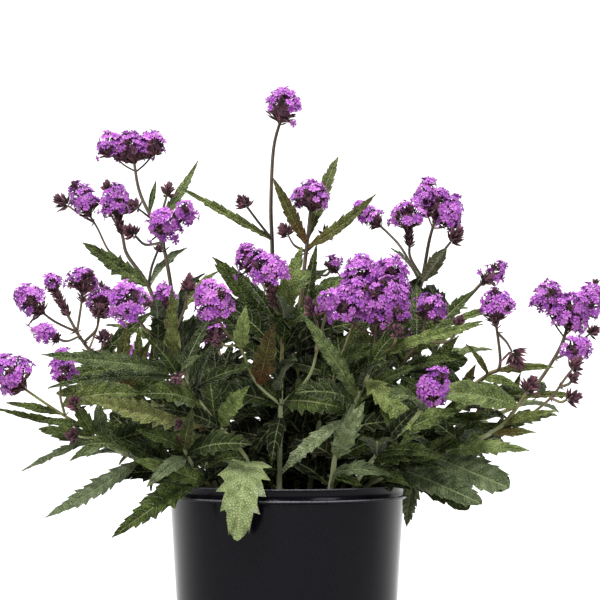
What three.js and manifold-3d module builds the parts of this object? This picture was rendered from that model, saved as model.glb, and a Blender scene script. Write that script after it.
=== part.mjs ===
// A slender vervain in its nursery pot: a bushy plant of square stems, toothed leaves, dark bud spikes and
// domes of violet florets. Millimetres, +Z up, origin under the middle of the pot, the plant's front at -Y.
import * as THREE from 'three';
import { mergeVertices } from 'three/addons/utils/BufferGeometryUtils.js';
import Module from 'manifold-3d';

const wasm = await Module();
wasm.setup();

// Pot and soil
const rimRadius = 95;
const rimHeight = 12;
const rimLip = 0.8;
const potHeight = 150;
const wall = 1.6;
const wallTopRadius = 93.2;
const footRadius = 85.4;
const floorThickness = 2;
const drainHoles = 8;
const drainRadius = 6;
const drainCircle = 62;
const potSides = 24;
const soilLevel = 139;
const soilEdgeDrop = 2;
const soilRings = [0.8, 0.56, 0.3];
const soilRipple = 1.6;
const rippleTurn = 2.3;
const rippleShift = 17;
const soilSides = 14;
const fitGap = 0.3;

// Stems
const stemFoot = 124;
const stemHoleLength = 40;
const uprightFoot = 22;
const stemHoleRadius = 3.6;
const mainRadius = 2;
const shootRadius = 1.1;
const tipRadius = 0.9;

// Bud spikes and the calyx cups under the heads: rings of (share of the radius, share of the length)
const budTiers = [[0.35, 0], [1, 0.35], [0.65, 0.62], [0, 1]];
const cupTiers = [[0.3, 0], [1, 0.5], [0.8, 1]];
const cupRadius = 4.5;
const cupShare = 0.3;
const pointRadius = 0.4;

// Leaves
const leafThickness = 1.5;
const leafFold = 0.22;
const notchDepth = 0.3;
const toothLean = 0.72;
const toothSpacing = 28;
const mostTeeth = 6;
const leafBelly = 0.8;
const broadBelly = 1;
const broadFullness = 0.5;
const slimShare = 0.25;
const broadShare = 0.5;

// Flower heads: florets sit on the pentagons of a dodecahedron, whose corners lie in four rings
const cornerPolars = [37.377, 79.188, 100.812, 142.623];
const fullHead = 18.5;
const coreScale = 0.72;
const lobeReach = 0.93;
const lobeWaist = 0.6;
const floretRise = 1.13;
const plateDistance = 0.795;
const undersideDepth = 0.16;
const fullStretch = 1.23;
const domeStretch = 1.9;

// Room kept between neighbours
const bladeRoom = 1.9;
const stemRoom = 1.5;
const headRoom = 2;
const rimRoom = 1.2;
const spreadStart = 170;
const spreadFull = 290;
const spreadDepth = 0.5;
const swingStep = 6;
const swings = 15;
const bladeSteps = 14;
const sampleSpacing = 5;
const samplesPerStep = 8;
const heelShare = 0.2;

// Low leaves that fill the bush between the listed ones
const fillerHeights = [176, 214];
const fillerLength = 66;
const fillerRise = 10;
const fillerWidth = 25;
const fillerArch = 0.1;
const fillerFaces = { front: 55, back: -35 };
const fillerTurns = 24;
const goldenAngle = Math.PI * (3 - Math.sqrt(5));

const colours = {
  pot: 0x1e1d22,
  soil: 0x3a2c22,
  stem: 0x5f7040,
  flower: 0xa64cc4,
};

// Each plant stands in the soil at root. Each shoot is a path of points. It ends in a flower head (radius,
// half height, length of the dark spike below it), or in a bud spike (radius, length). Each leaf is a heel, a
// tip, a width, the turn of its upper face from straight up (0) towards the front (90) or the back (-90), and
// its arch as a share of its length.
const plants = [
  {
    name: 'tall_centre',
    root: [-4, 14],
    shoots: [
      { path: [[-5, 17, 214], [-11, 17, 290], [-12, 15, 340],
          [-13, 13, 372], [-11, 12, 417], [-5, 10, 442]],
        head: [18, 13, 5] },
      { path: [[-13, 14, 343], [-23, 10, 359], [-32, 6, 371]], bud: [5.5, 12] },
    ],
    leaves: [
      [[-13, 14, 342], [-87, 0, 387], 10, 50, 0],
      [[-11, 17, 280], [-60, 6, 331], 16, 60, 0.06],
      [[-11, 17, 286], [34, 30, 322], 14, 50, 0.06],
      [[-5, 17, 214], [-58, 60, 236], 20, -20, 0.1],
      [[-5, 17, 214], [40, 70, 240], 20, -20, 0.1],
      [[-8, 17, 250], [-20, 70, 290], 18, -30, 0.08],
    ],
  },
  {
    name: 'centre_right',
    root: [8, -4],
    shoots: [
      { path: [[9, -10, 236], [10, -12, 287], [12, -12, 305], [15, -10, 332], [17, -8, 350], [19, -6, 372]],
        head: [17.5, 11, 6] },
      { path: [[14, -9, 334], [23, -2, 342], [30, 2, 348]], bud: [5.5, 12] },
      { path: [[14, -9, 334], [6, -4, 340], [1, -1, 348]], bud: [6, 12] },
      { path: [[14, -11, 318], [30, 6, 316], [36, 9, 322]], head: [9, 7, 3] },
    ],
    leaves: [
      [[17, -8, 346], [42, 44, 415], 12, 65, 0.06],
      [[15, -8, 339], [70, -22, 380], 12, 55, -0.07],
      [[15, -8, 340], [-11, -26, 393], 11, 70, -0.02],
      [[10, -12, 290], [54, -4, 318], 13, 40, 0.08],
      [[9, -10, 236], [52, 14, 262], 18, 40, 0.1],
      [[9, -9, 220], [-36, -14, 262], 16, 60, 0.08],
    ],
  },
  {
    name: 'front_middle',
    root: [-6, -34],
    shoots: [
      { path: [[-5, -40, 214], [-4, -46, 276], [-9, -54, 290], [-14, -60, 312]], head: [17, 10.5, 24] },
      { path: [[-4, -46, 278], [-19, -34, 309], [-27, -28, 321]], head: [14, 11, 5] },
      { path: [[-5, -40, 216], [-24, -50, 232], [-36, -58, 259], [-48, -62, 273], [-54, -64, 286]],
        head: [17, 15, 5] },
      { path: [[-5, -40, 216], [17, -52, 236], [25, -66, 264], [31, -80, 290]], head: [9, 9, 4] },
      { path: [[24, -62, 258], [24, -68, 275], [21, -70, 284]], bud: [5.5, 18] },
      { path: [[-41, -59, 262], [-47, -70, 261], [-51, -74, 264]], bud: [4.5, 9] },
    ],
    leaves: [
      [[-36, -58, 259], [-31, -76, 292], 14, 75, 0.1],
      [[-22, -49, 231], [-10, -68, 279], 18, 75, 0.05],
      [[-4, -46, 281], [12, -66, 338], 18, 78, 0.05],
      [[-5, -40, 208], [-12, -66, 168], 14, 60, 0.2],
      [[-5, -40, 204], [-30, -64, 168], 11, 60, 0.2],
      [[-3, -41, 216], [46, -74, 212], 24, 70, 0.1],
      [[-5, -40, 214], [-36, -30, 250], 15, 50, 0.06],
    ],
  },
  {
    name: 'front_left',
    root: [-30, -48],
    shoots: [
      { path: [[-32, -54, 172], [-53, -62, 198], [-70, -70, 220],
          [-88, -76, 243], [-106, -80, 271], [-117, -83, 286]],
        head: [18, 14, 5] },
      { path: [[-88, -76, 243], [-93, -72, 273], [-94, -70, 294]], head: [10, 8, 5] },
      { path: [[-93, -74, 262], [-79, -66, 289], [-77, -64, 303]], bud: [5, 14] },
      { path: [[-88, -76, 243], [-85, -85, 238]], bud: [4.5, 9] },
      { path: [[-62, -66, 210], [-76, -78, 205], [-80, -80, 202]], bud: [3.5, 8] },
    ],
    leaves: [
      [[-52, -62, 197], [-157, -98, 222], 23, 62, -0.03],
      [[-52, -62, 199], [-29, -86, 230], 17, 70, 0.05],
      [[-86, -75, 243], [-87, -92, 307], 10, 85, 0.03],
      [[-84, -75, 240], [-66, -88, 254], 8, 60, 0.05],
      [[-94, -77, 241], [-186, -104, 255], 17, 60, 0.01],
      [[-89, -74, 233], [-183, -96, 229], 13, 40, 0.06],
      [[-32, -52, 168], [-38, -106, 111], 39, 72, 0.34],
      [[-33, -54, 174], [-62, -84, 166], 13, 60, 0.2],
      [[-56, -63, 202], [-62, -50, 249], 16, 70, 0.05],
    ],
  },
  {
    name: 'left_behind',
    root: [-34, 10],
    shoots: [
      { path: [[-62, 14, 190], [-84, 16, 244], [-91, 16, 290],
          [-101, 20, 343], [-119, 26, 382], [-125, 32, 411]],
        head: [15, 12, 5], sideDomes: [[-143, 32, 415, 13, 10], [-108, 30, 416, 12, 10]] },
      { path: [[-99, 19, 336], [-99, 6, 346], [-99, -2, 352]], head: [15, 14, 4],
        sideDomes: [[-82, -6, 362, 11, 12]] },
      { path: [[-104, 20, 355], [-100, 27, 373], [-98, 30, 381]], bud: [5.5, 13] },
      { path: [[-109, 22, 361], [-116, 14, 367], [-120, 11, 370]], bud: [5.5, 11] },
      { path: [[-100, 20, 340], [-114, 12, 341], [-122, 7, 348]], bud: [6, 13] },
    ],
    leaves: [
      [[-103, 22, 358], [-73, 46, 411], 9, 65, -0.1],
      [[-110, 25, 369], [-107, 36, 394], 5, 60, 0.03],
      [[-84, 16, 246], [-120, 20, 276], 10, 60, 0.05],
      [[-90, 16, 286], [-60, 40, 318], 12, 50, 0.06],
      [[-90, 16, 282], [-128, 0, 300], 12, 60, 0.06],
      [[-62, 14, 190], [-118, 58, 214], 22, -20, 0.1],
      [[-64, 14, 194], [-40, 44, 240], 18, 60, 0.08],
      [[-78, 15, 230], [-50, -16, 262], 16, 60, 0.06],
    ],
  },
  {
    name: 'far_left_tall',
    root: [-52, 30],
    shoots: [
      { path: [[-78, 38, 205], [-100, 44, 270], [-114, 46, 308],
          [-131, 48, 333], [-135, 50, 347], [-140, 50, 369]],
        head: [14.5, 12, 20] },
      { path: [[-118, 47, 314], [-144, 54, 333], [-157, 60, 356], [-165, 61, 369]], head: [13, 14, 5] },
      { path: [[-160, 60, 361], [-173, 74, 368], [-183, 78, 375]], bud: [7, 14] },
      { path: [[-116, 46, 307], [-111, 42, 323], [-106, 38, 336]], bud: [3, 7] },
      { path: [[-137, 49, 352], [-147, 66, 369], [-149, 70, 386]], bud: [4.5, 11] },
    ],
    leaves: [
      [[-114, 46, 308], [-166, 28, 343], 18, 62, -0.02],
      [[-114, 46, 308], [-84, 74, 340], 14, -50, 0.06],
      [[-76, 37, 200], [-142, 66, 186], 22, 10, 0.14],
      [[-78, 38, 208], [-60, 96, 226], 22, -20, 0.12],
      [[-96, 42, 256], [-150, 66, 276], 18, 10, 0.08],
      [[-96, 42, 256], [-70, 90, 284], 16, -40, 0.08],
    ],
  },
  {
    name: 'far_left',
    root: [-56, -8],
    shoots: [
      { path: [[-82, -14, 190], [-129, -20, 220], [-143, -22, 241],
          [-155, -22, 255], [-166, -22, 271], [-185, -18, 306]],
        head: [9, 7, 26] },
      { path: [[-166, -22, 271], [-182, -30, 279], [-194, -33, 288]], head: [14, 12, 5] },
      { path: [[-164, -22, 269], [-173, -36, 264], [-181, -42, 267]], head: [10, 10, 4] },
      { path: [[-166, -22, 271], [-164, -14, 288], [-162, -10, 305]], head: [15, 8, 12] },
      { path: [[-157, -22, 258], [-151, -2, 277], [-151, 14, 293]], head: [13, 10, 5] },
      { path: [[-155, -22, 255], [-146, -38, 257], [-144, -44, 264]], bud: [5.5, 14] },
      { path: [[-161, -22, 263], [-150, -32, 273], [-148, -36, 283]], bud: [5.5, 13] },
    ],
    leaves: [
      [[-143, -22, 241], [-180, -50, 232], 13, 60, 0.1],
      [[-112, -20, 238], [-150, 14, 240], 16, 20, 0.1],
      [[-129, -20, 220], [-105, -50, 267], 12, 75, 0.06],
      [[-82, -14, 196], [-140, 20, 206], 20, 20, 0.12],
      [[-84, -15, 200], [-104, -50, 226], 18, 65, 0.08],
      [[-100, -18, 222], [-130, -48, 226], 16, 60, 0.1],
    ],
  },
  {
    name: 'low_left',
    root: [-62, -32],
    shoots: [
      { path: [[-84, -40, 160], [-105, -46, 166], [-144, -52, 184],
          [-158, -54, 196], [-180, -56, 210], [-207, -58, 229]],
        head: [18, 16, 5] },
      { path: [[-176, -56, 207], [-177, -52, 221], [-176, -50, 235]], head: [12, 11, 5] },
      { path: [[-160, -54, 197], [-161, -60, 206], [-163, -62, 211]], bud: [6, 12] },
      { path: [[-151, -53, 188], [-158, -62, 189], [-163, -64, 190]], bud: [5, 10] },
    ],
    leaves: [
      [[-179, -56, 208], [-217, -74, 217], 9, 55, 0],
      [[-162, -54, 199], [-190, -76, 203], 8, 55, 0.02],
      [[-143, -50, 184], [-148, -44, 216], 12, 70, 0.06],
      [[-116, -48, 169], [-188, -72, 127], 16, 60, -0.04],
      [[-153, -53, 187], [-207, -66, 163], 9, 40, 0.02],
      [[-144, -52, 183], [-168, -70, 172], 10, 60, 0.02],
      [[-105, -46, 166], [-160, -8, 172], 18, 20, 0.12],
      [[-96, -43, 164], [-120, -78, 186], 14, 65, 0.08],
    ],
  },
  {
    name: 'low_front_left',
    root: [-58, -54],
    shoots: [
      { path: [[-68, -60, 158], [-76, -66, 172], [-83, -71, 186]], bud: [2.5, 7] },
    ],
    leaves: [
      [[-77, -67, 174], [-108, -94, 152], 13, 62, 0.12],
      [[-68, -60, 159], [-135, -98, 113], 20, 62, 0.03],
      [[-79, -69, 178], [-116, -98, 196], 15, 62, 0.08],
      [[-72, -63, 166], [-50, -92, 178], 13, 66, 0.1],
      [[-80, -69, 180], [-72, -84, 214], 11, 80, 0.05],
    ],
  },
  {
    name: 'cluster_front',
    root: [34, -58],
    shoots: [
      { path: [[36, -64, 160], [39, -66, 180], [49, -66, 208],
          [63, -64, 238], [68, -62, 262], [69, -62, 280]],
        head: [15, 15, 3],
        sideDomes: [[45, -62, 283, 14, 14], [87, -64, 282, 12, 13],
          [57, -56, 303, 16, 15], [82, -54, 304, 16, 14]] },
      { path: [[68, -63, 248], [82, -74, 262], [84, -78, 269]], bud: [5, 12] },
    ],
    leaves: [
      [[37, -66, 172], [60, -90, 218], 20, 78, 0.06],
      [[48, -66, 206], [-6, -94, 158], 13, 62, 0.12],
      [[56, -65, 224], [11, -82, 287], 13, 72, 0.05],
      [[62, -64, 236], [96, -94, 196], 20, 64, 0.14],
      [[73, -62, 256], [150, -86, 278], 12, 58, 0.05],
      [[37, -64, 161], [84, -96, 160], 14, 60, 0.16],
      [[37, -64, 159], [58, -92, 152], 10, 60, 0.1],
    ],
  },
  {
    name: 'cluster_back',
    root: [18, -26],
    shoots: [
      { path: [[26, -32, 200], [42, -38, 248], [54, -42, 282]], bud: [5, 12] },
    ],
    leaves: [
      [[26, -32, 200], [30, -54, 250], 16, 75, 0.06],
      [[42, -38, 248], [104, -36, 266], 15, 55, 0.08],
      [[40, -37, 242], [14, -30, 284], 13, 60, 0.06],
      [[26, -32, 202], [78, -30, 224], 18, 50, 0.1],
      [[22, -30, 186], [70, -56, 190], 18, 60, 0.12],
    ],
  },
  {
    name: 'right_middle',
    root: [44, -22],
    shoots: [
      { path: [[64, -26, 190], [88, -30, 240], [104, -32, 264], [110, -33, 285]], head: [15, 11.5, 6] },
      { path: [[104, -32, 262], [126, -50, 264], [132, -54, 276]], bud: [4.5, 11] },
    ],
    leaves: [
      [[94, -31, 250], [149, 4, 304], 17, 60, 0.03],
      [[98, -31, 256], [154, -34, 280], 11, 60, 0.05],
      [[90, -30, 244], [60, -14, 286], 14, 60, 0.06],
      [[88, -30, 240], [134, -56, 250], 13, 60, 0.08],
      [[64, -26, 190], [112, -8, 214], 18, 40, 0.1],
      [[66, -26, 196], [90, -54, 228], 15, 70, 0.08],
    ],
  },
  {
    name: 'tall_right',
    root: [34, 22],
    shoots: [
      { path: [[60, 34, 210], [92, 46, 270], [108, 50, 304],
          [112, 52, 319], [117, 55, 346], [123, 57, 366]],
        head: [13, 12, 8],
        sideDomes: [[113, 56, 375, 11, 12], [134, 54, 358, 12, 13]] },
      { path: [[111, 52, 316], [101, 46, 331], [100, 44, 342], [99, 42, 357]], head: [16, 10, 18] },
      { path: [[109, 51, 310], [95, 60, 338], [83, 65, 352], [74, 66, 360]], head: [11, 12, 5] },
      { path: [[112, 52, 319], [126, 50, 334], [134, 48, 344]], bud: [6.5, 14] },
    ],
    leaves: [
      [[110, 51, 312], [130, 40, 339], 14, -70, 0],
      [[110, 51, 312], [87, 86, 340], 9, -40, 0.05],
      [[88, 46, 270], [150, 74, 290], 16, 20, 0.08],
      [[88, 46, 270], [64, 98, 278], 18, -30, 0.1],
      [[60, 34, 210], [124, 86, 214], 24, 0, 0.12],
      [[62, 35, 216], [30, 84, 252], 18, -30, 0.08],
      [[76, 41, 244], [52, 12, 284], 14, 60, 0.06],
    ],
  },
  {
    name: 'right',
    root: [58, 14],
    shoots: [
      { path: [[84, 18, 190], [112, 22, 240], [132, 24, 280],
          [153, 26, 305], [161, 26, 313]], head: [10.5, 12, 6] },
    ],
    leaves: [
      [[106, 21, 228], [138, 4, 268], 14, 65, 0.05],
      [[112, 22, 240], [168, 50, 256], 16, 20, 0.08],
      [[84, 18, 190], [152, 48, 196], 22, 10, 0.12],
      [[86, 18, 194], [98, -4, 244], 14, 70, 0.06],
      [[130, 24, 276], [168, 8, 290], 9, 55, 0.05],
    ],
  },
  {
    name: 'far_right_behind',
    root: [66, -4],
    shoots: [
      { path: [[100, -4, 172], [150, 0, 198], [184, 2, 212], [201, 4, 230], [218, 6, 256], [226, 8, 277]],
        sideDomes: [[208, 14, 292, 14, 10], [240, 6, 288, 13, 12]],
        head: [15, 13, 6] },
      { path: [[213, 5, 248], [220, -4, 252], [226, -8, 255]], head: [12, 10, 4] },
      { path: [[222, 7, 266], [236, 14, 264], [244, 16, 269]], bud: [4.5, 10] },
    ],
    leaves: [
      [[193, 3, 220], [230, -14, 220], 8, 55, 0.05],
      [[150, 0, 198], [172, -16, 230], 10, 70, 0.05],
      [[176, 2, 208], [186, -10, 238], 8, 70, 0.05],
      [[134, -1, 190], [182, 34, 188], 18, 10, 0.12],
      [[108, -3, 176], [160, 24, 168], 20, 20, 0.14],
      [[104, -3, 174], [98, 34, 111], 17, 60, 0.06],
      [[184, 2, 212], [220, 28, 206], 12, 10, 0.1],
    ],
  },
  {
    name: 'far_right',
    root: [62, -22],
    shoots: [
      { path: [[96, -30, 180], [138, -40, 222], [158, -44, 238],
          [167, -46, 246], [163, -46, 282]], head: [16, 11.5, 8] },
      { path: [[167, -46, 273], [171, -52, 264], [175, -55, 257]], bud: [8, 14] },
    ],
    leaves: [
      [[158, -44, 238], [140, -54, 262], 6, 60, 0.05],
      [[138, -40, 222], [147, -58, 246], 10, 70, 0.06],
      [[154, -43, 234], [182, -62, 228], 9, 60, 0.1],
      [[122, -37, 208], [162, -62, 222], 12, 62, 0.08],
      [[112, -34, 196], [160, -66, 204], 13, 60, 0.08],
      [[96, -30, 180], [146, -10, 186], 16, 40, 0.12],
    ],
  },
  {
    name: 'low_right',
    root: [60, -42],
    shoots: [
      { path: [[84, -52, 162], [120, -60, 176], [150, -64, 188],
          [168, -66, 199], [181, -68, 216], [186, -69, 225]],
        bud: [6.5, 14] },
      { path: [[170, -66, 201], [188, -60, 206], [206, -58, 220],
          [216, -58, 234], [222, -58, 242]], bud: [5.5, 12] },
      { path: [[206, -58, 220], [213, -64, 217], [218, -66, 219]], bud: [6, 12] },
      { path: [[212, -58, 228], [219, -64, 231], [221, -66, 234]], bud: [4, 9] },
    ],
    leaves: [
      [[168, -66, 199], [210, -80, 211], 8, 58, 0.06],
      [[158, -65, 193], [193, -84, 194], 9, 58, 0.02],
      [[124, -60, 178], [188, -88, 180], 15, 60, 0.08],
      [[88, -53, 164], [130, -84, 192], 10, 62, 0.06],
      [[118, -60, 174], [172, -92, 151], 28, 62, 0],
      [[90, -53, 163], [150, -96, 140], 26, 62, 0.02],
      [[84, -52, 162], [124, -86, 166], 14, 60, 0.14],
      [[112, -58, 173], [160, -34, 158], 18, 30, 0.16],
    ],
  },
  {
    name: 'front_right',
    root: [52, -62],
    shoots: [
      { path: [[58, -68, 160], [76, -78, 182], [98, -86, 204], [109, -90, 222]], head: [14, 15, 5] },
    ],
    leaves: [
      [[74, -77, 180], [120, -104, 176], 14, 60, 0.12],
      [[60, -69, 163], [96, -100, 152], 13, 60, 0.16],
      [[84, -81, 189], [72, -98, 222], 11, 78, 0.06],
    ],
  },
  {
    name: 'back_right',
    root: [38, 48],
    shoots: [
      { path: [[66, 78, 190], [92, 104, 232], [104, 114, 258]], head: [15, 12, 8] },
      { path: [[66, 78, 190], [62, 108, 216], [60, 124, 240]], head: [12, 10, 6] },
      { path: [[84, 96, 220], [108, 92, 234], [116, 92, 242]], bud: [5, 12] },
    ],
    leaves: [
      [[66, 78, 190], [130, 96, 176], 22, -10, 0.14],
      [[62, 74, 184], [40, 130, 190], 22, -30, 0.14],
      [[86, 98, 222], [140, 120, 220], 16, -20, 0.1],
      [[52, 64, 168], [92, 108, 140], 24, -40, 0.26],
      [[90, 102, 228], [70, 146, 240], 14, -40, 0.08],
    ],
  },
  {
    name: 'back',
    root: [8, 60],
    shoots: [
      { path: [[14, 96, 196], [20, 124, 238], [22, 132, 264]], head: [16, 13, 10] },
      { path: [[16, 108, 214], [-4, 126, 228], [-8, 132, 238]], bud: [5, 13] },
    ],
    leaves: [
      [[13, 92, 190], [62, 132, 172], 20, -40, 0.14],
      [[13, 92, 190], [-26, 140, 184], 22, -50, 0.14],
      [[12, 80, 174], [10, 140, 130], 26, -50, 0.3],
      [[17, 112, 222], [44, 156, 226], 14, -50, 0.08],
      [[10, 74, 164], [50, 112, 120], 18, -50, 0.34],
    ],
  },
  {
    name: 'back_left',
    root: [-24, 56],
    shoots: [
      { path: [[-40, 88, 196], [-54, 114, 236], [-60, 124, 262]], head: [15, 12, 10] },
      { path: [[-50, 106, 224], [-74, 110, 238], [-80, 112, 250]], bud: [5, 13] },
    ],
    leaves: [
      [[-39, 86, 192], [-90, 126, 180], 22, -40, 0.14],
      [[-38, 84, 190], [-20, 118, 214], 15, -50, 0.08],
      [[-36, 80, 182], [-52, 140, 140], 24, -50, 0.26],
      [[-54, 114, 236], [-40, 158, 240], 14, -50, 0.1],
    ],
  },
  {
    name: 'back_far_left',
    root: [-46, 46],
    shoots: [
      { path: [[-80, 76, 184], [-108, 98, 216], [-124, 108, 240]], head: [14, 12, 8] },
      { path: [[-94, 88, 200], [-120, 84, 206], [-130, 82, 214]], bud: [4.5, 11] },
    ],
    leaves: [
      [[-80, 76, 184], [-140, 104, 160], 20, -20, 0.16],
      [[-78, 74, 182], [-76, 130, 170], 20, -50, 0.14],
      [[-70, 68, 172], [-112, 64, 140], 18, 0, 0.26],
      [[-106, 96, 214], [-154, 128, 214], 14, -20, 0.1],
    ],
  },
];

// A listed point, set further forwards or backwards the higher it stands, so that the bush opens all round.
function vector([x, y, z]) {
  const share = THREE.MathUtils.clamp((z - spreadStart) / (spreadFull - spreadStart), 0, 1);
  return new THREE.Vector3(x, y * (1 + spreadDepth * share), z);
}

const polar = (radius, angle, z) => new THREE.Vector3(radius * Math.cos(angle), radius * Math.sin(angle), z);

// ---- closed meshes and solids

function facets(points, faces) {
  const geometry = new THREE.BufferGeometry();
  const positions = points.flatMap((point) => [point.x, point.y, point.z]);
  geometry.setAttribute('position', new THREE.Float32BufferAttribute(positions, 3));
  geometry.setIndex(faces.flat());
  return geometry;
}

function solid(geometry) {
  geometry.deleteAttribute('normal');
  geometry.deleteAttribute('uv');
  const merged = mergeVertices(geometry);
  const mesh = new wasm.Mesh({
    numProp: 3,
    vertProperties: Float32Array.from(merged.attributes.position.array),
    triVerts: Uint32Array.from(merged.index.array),
  });
  return new wasm.Manifold(mesh);
}

// The largest body of a join: loose scraps drop out and sealed hollows fill up.
function joined(solids) {
  const bodies = wasm.Manifold.union(solids).decompose();
  return bodies.reduce((largest, body) => (body.volume() > largest.volume() ? body : largest));
}

function geometryOf(body) {
  const mesh = body.getMesh();
  const geometry = new THREE.BufferGeometry();
  geometry.setAttribute('position', new THREE.Float32BufferAttribute(mesh.vertProperties, 3));
  geometry.setIndex([...mesh.triVerts]);
  geometry.computeVertexNormals();
  return geometry;
}

// ---- stems, bud spikes, leaves and florets

// A rod of rings, each with a centre, a radius and two sideways directions, and closed flat at both ends.
function rod(rings, sides) {
  const points = rings.flatMap(({ centre, radius, side, across }) => {
    const ring = [];
    for (let corner = 0; corner < sides; corner += 1) {
      const angle = (2 * Math.PI * corner) / sides;
      ring.push(centre.clone()
        .addScaledVector(side, radius * Math.cos(angle))
        .addScaledVector(across, radius * Math.sin(angle)));
    }
    return ring;
  });
  const faces = [];
  const last = (rings.length - 1) * sides;
  for (let corner = 1; corner < sides - 1; corner += 1) {
    faces.push([0, corner + 1, corner], [last, last + corner, last + corner + 1]);
  }
  for (let i = 0; i < last; i += sides) {
    for (let corner = 0; corner < sides; corner += 1) {
      const a = i + corner;
      const b = i + ((corner + 1) % sides);
      faces.push([a, b, b + sides], [a, b + sides, a + sides]);
    }
  }
  return facets(points, faces);
}

// A square stem, or a three-sided side shoot, that tapers along its curve and ends in its calyces: a cup
// under a flower head, or a bud spike.
function stemRod(shoot) {
  const { curve, steps, radii, axis, tip } = shoot;
  const frames = curve.computeFrenetFrames(steps, false);
  const ringAt = (i) => ({
    centre: curve.getPoint(i / steps),
    radius: THREE.MathUtils.lerp(radii[0], radii[1], i / steps),
    side: frames.normals[i],
    across: frames.binormals[i],
  });
  const rings = Array.from({ length: steps + 1 }, (_, i) => ringAt(i));
  const end = rings.pop();
  const [across, along, tiers] = shoot.bud
    ? [shoot.bud[0], shoot.bud[1], budTiers]
    : [Math.min(cupRadius, shoot.head[0] * cupShare), shoot.head[2], cupTiers];
  const start = shoot.bud ? tip : tip.clone().addScaledVector(axis, -along);
  for (const [out, forward] of tiers) {
    const centre = start.clone().addScaledVector(axis, forward * along);
    rings.push({ ...end, centre, radius: Math.max(out * across, pointRadius) });
  }
  return rod(rings, shoot.sides);
}

function teethOn(leaf) {
  const length = leaf.heel.distanceTo(leaf.tip);
  return THREE.MathUtils.clamp(Math.round(length / toothSpacing), 2, mostTeeth);
}

// Half width of a blade at a share of its length: slim leaves are lance-shaped and broad ones blunter.
function halfWidth(leaf, share) {
  const slenderness = leaf.width / leaf.heel.distanceTo(leaf.tip);
  const breadth = THREE.MathUtils.smoothstep(slenderness, slimShare, broadShare);
  const belly = THREE.MathUtils.lerp(leafBelly, broadBelly, breadth);
  const fullness = THREE.MathUtils.lerp(leafBelly, broadFullness, breadth);
  const swell = Math.max(0, Math.sin(Math.PI * Math.pow(share, belly)));
  return (leaf.width / 2) * Math.pow(swell, fullness);
}

// The midrib point, forward, sideways and upward directions of a blade at a share of its length.
function bladeFrame(leaf, share) {
  const chord = leaf.tip.clone().sub(leaf.heel);
  const turn = THREE.MathUtils.degToRad(leaf.face);
  const hint = new THREE.Vector3(0, -Math.sin(turn), Math.cos(turn));
  const along = chord.clone().normalize();
  const lift = hint.clone().addScaledVector(along, -hint.dot(along)).normalize();
  const bend = leaf.heel.clone().lerp(leaf.tip, 0.5).addScaledVector(lift, 2 * leaf.arch * chord.length());
  const curve = new THREE.QuadraticBezierCurve3(leaf.heel, bend, leaf.tip);
  const centre = curve.getPoint(share);
  const forward = curve.getTangent(share);
  const up = hint.clone().addScaledVector(forward, -hint.dot(forward)).normalize();
  const side = new THREE.Vector3().crossVectors(forward, up);
  return { centre, forward, up, side };
}

function edgePoint(leaf, share, reach, hand) {
  const { centre, up, side } = bladeFrame(leaf, share);
  const across = halfWidth(leaf, share) * reach;
  return centre.clone().addScaledVector(side, hand * across).addScaledVector(up, leafFold * across);
}

// A toothed blade: a midrib ridge on each face, and an edge of forward-leaning teeth that both faces share.
function leafBlade(leaf) {
  const teeth = teethOn(leaf);
  const points = [];
  const add = (point) => points.push(point) - 1;
  const heel = add(leaf.heel.clone());
  const tip = add(leaf.tip.clone());
  const faces = [];
  const ribAt = (share) => {
    const { centre, up } = bladeFrame(leaf, share);
    return [1, -1].map((face) => add(centre.clone().addScaledVector(up, (face * leafThickness) / 2)));
  };
  let rib = [heel, heel];
  let notches = [heel, heel];
  for (let k = 0; k < teeth; k += 1) {
    const last = k === teeth - 1;
    const ribAfter = last ? [tip, tip] : ribAt((k + 1) / teeth);
    const hands = [-1, 1];
    const edgeAt = (share, reach) => hands.map((hand) => (
      last ? tip : add(edgePoint(leaf, share, reach, hand))
    ));
    const peaks = edgeAt((k + toothLean) / teeth, 1);
    const after = edgeAt((k + 1) / teeth, 1 - notchDepth);
    for (const hand of [0, 1]) {
      for (const side of [0, 1]) {
        const ring = [rib[side], notches[hand], peaks[hand], after[hand], ribAfter[side]];
        const corners = ring.filter((corner, i) => corner !== ring[(i + 1) % ring.length]);
        const outline = hand === side ? corners.reverse() : corners;
        const start = outline.indexOf(last ? rib[side] : ribAfter[side]);
        for (let i = 1; i < outline.length - 1; i += 1) {
          faces.push([0, i, i + 1].map((step) => outline[(start + step) % outline.length]));
        }
      }
    }
    rib = ribAfter;
    notches = after;
  }
  return facets(points, faces);
}

// ---- flower heads

// The corners of the floret cells on a unit ball, ring by ring from the top.
function cornerRings() {
  return cornerPolars.map((degrees, ring) => {
    const tilt = THREE.MathUtils.degToRad(degrees);
    const start = ring < 2 ? Math.PI / 5 : 0;
    const turn = (k) => start + (k * 2 * Math.PI) / 5;
    return Array.from({ length: 5 }, (_, k) => polar(Math.sin(tilt), turn(k), Math.cos(tilt)));
  });
}

// The pentagon cells as (ring, place) corners, counter-clockwise from outside: one on top, five round it, and
// for a full head five more below.
function floretCells(full) {
  const cells = [[0, 1, 2, 3, 4].map((k) => [0, k])];
  for (let k = 0; k < 5; k += 1) {
    const before = (k + 4) % 5;
    cells.push([[0, before], [1, before], [2, k], [1, k], [0, k]]);
  }
  for (let k = 0; full && k < 5; k += 1) {
    const after = (k + 1) % 5;
    cells.push([[1, k], [2, k], [3, k], [3, after], [2, after]]);
  }
  return cells;
}

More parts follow.
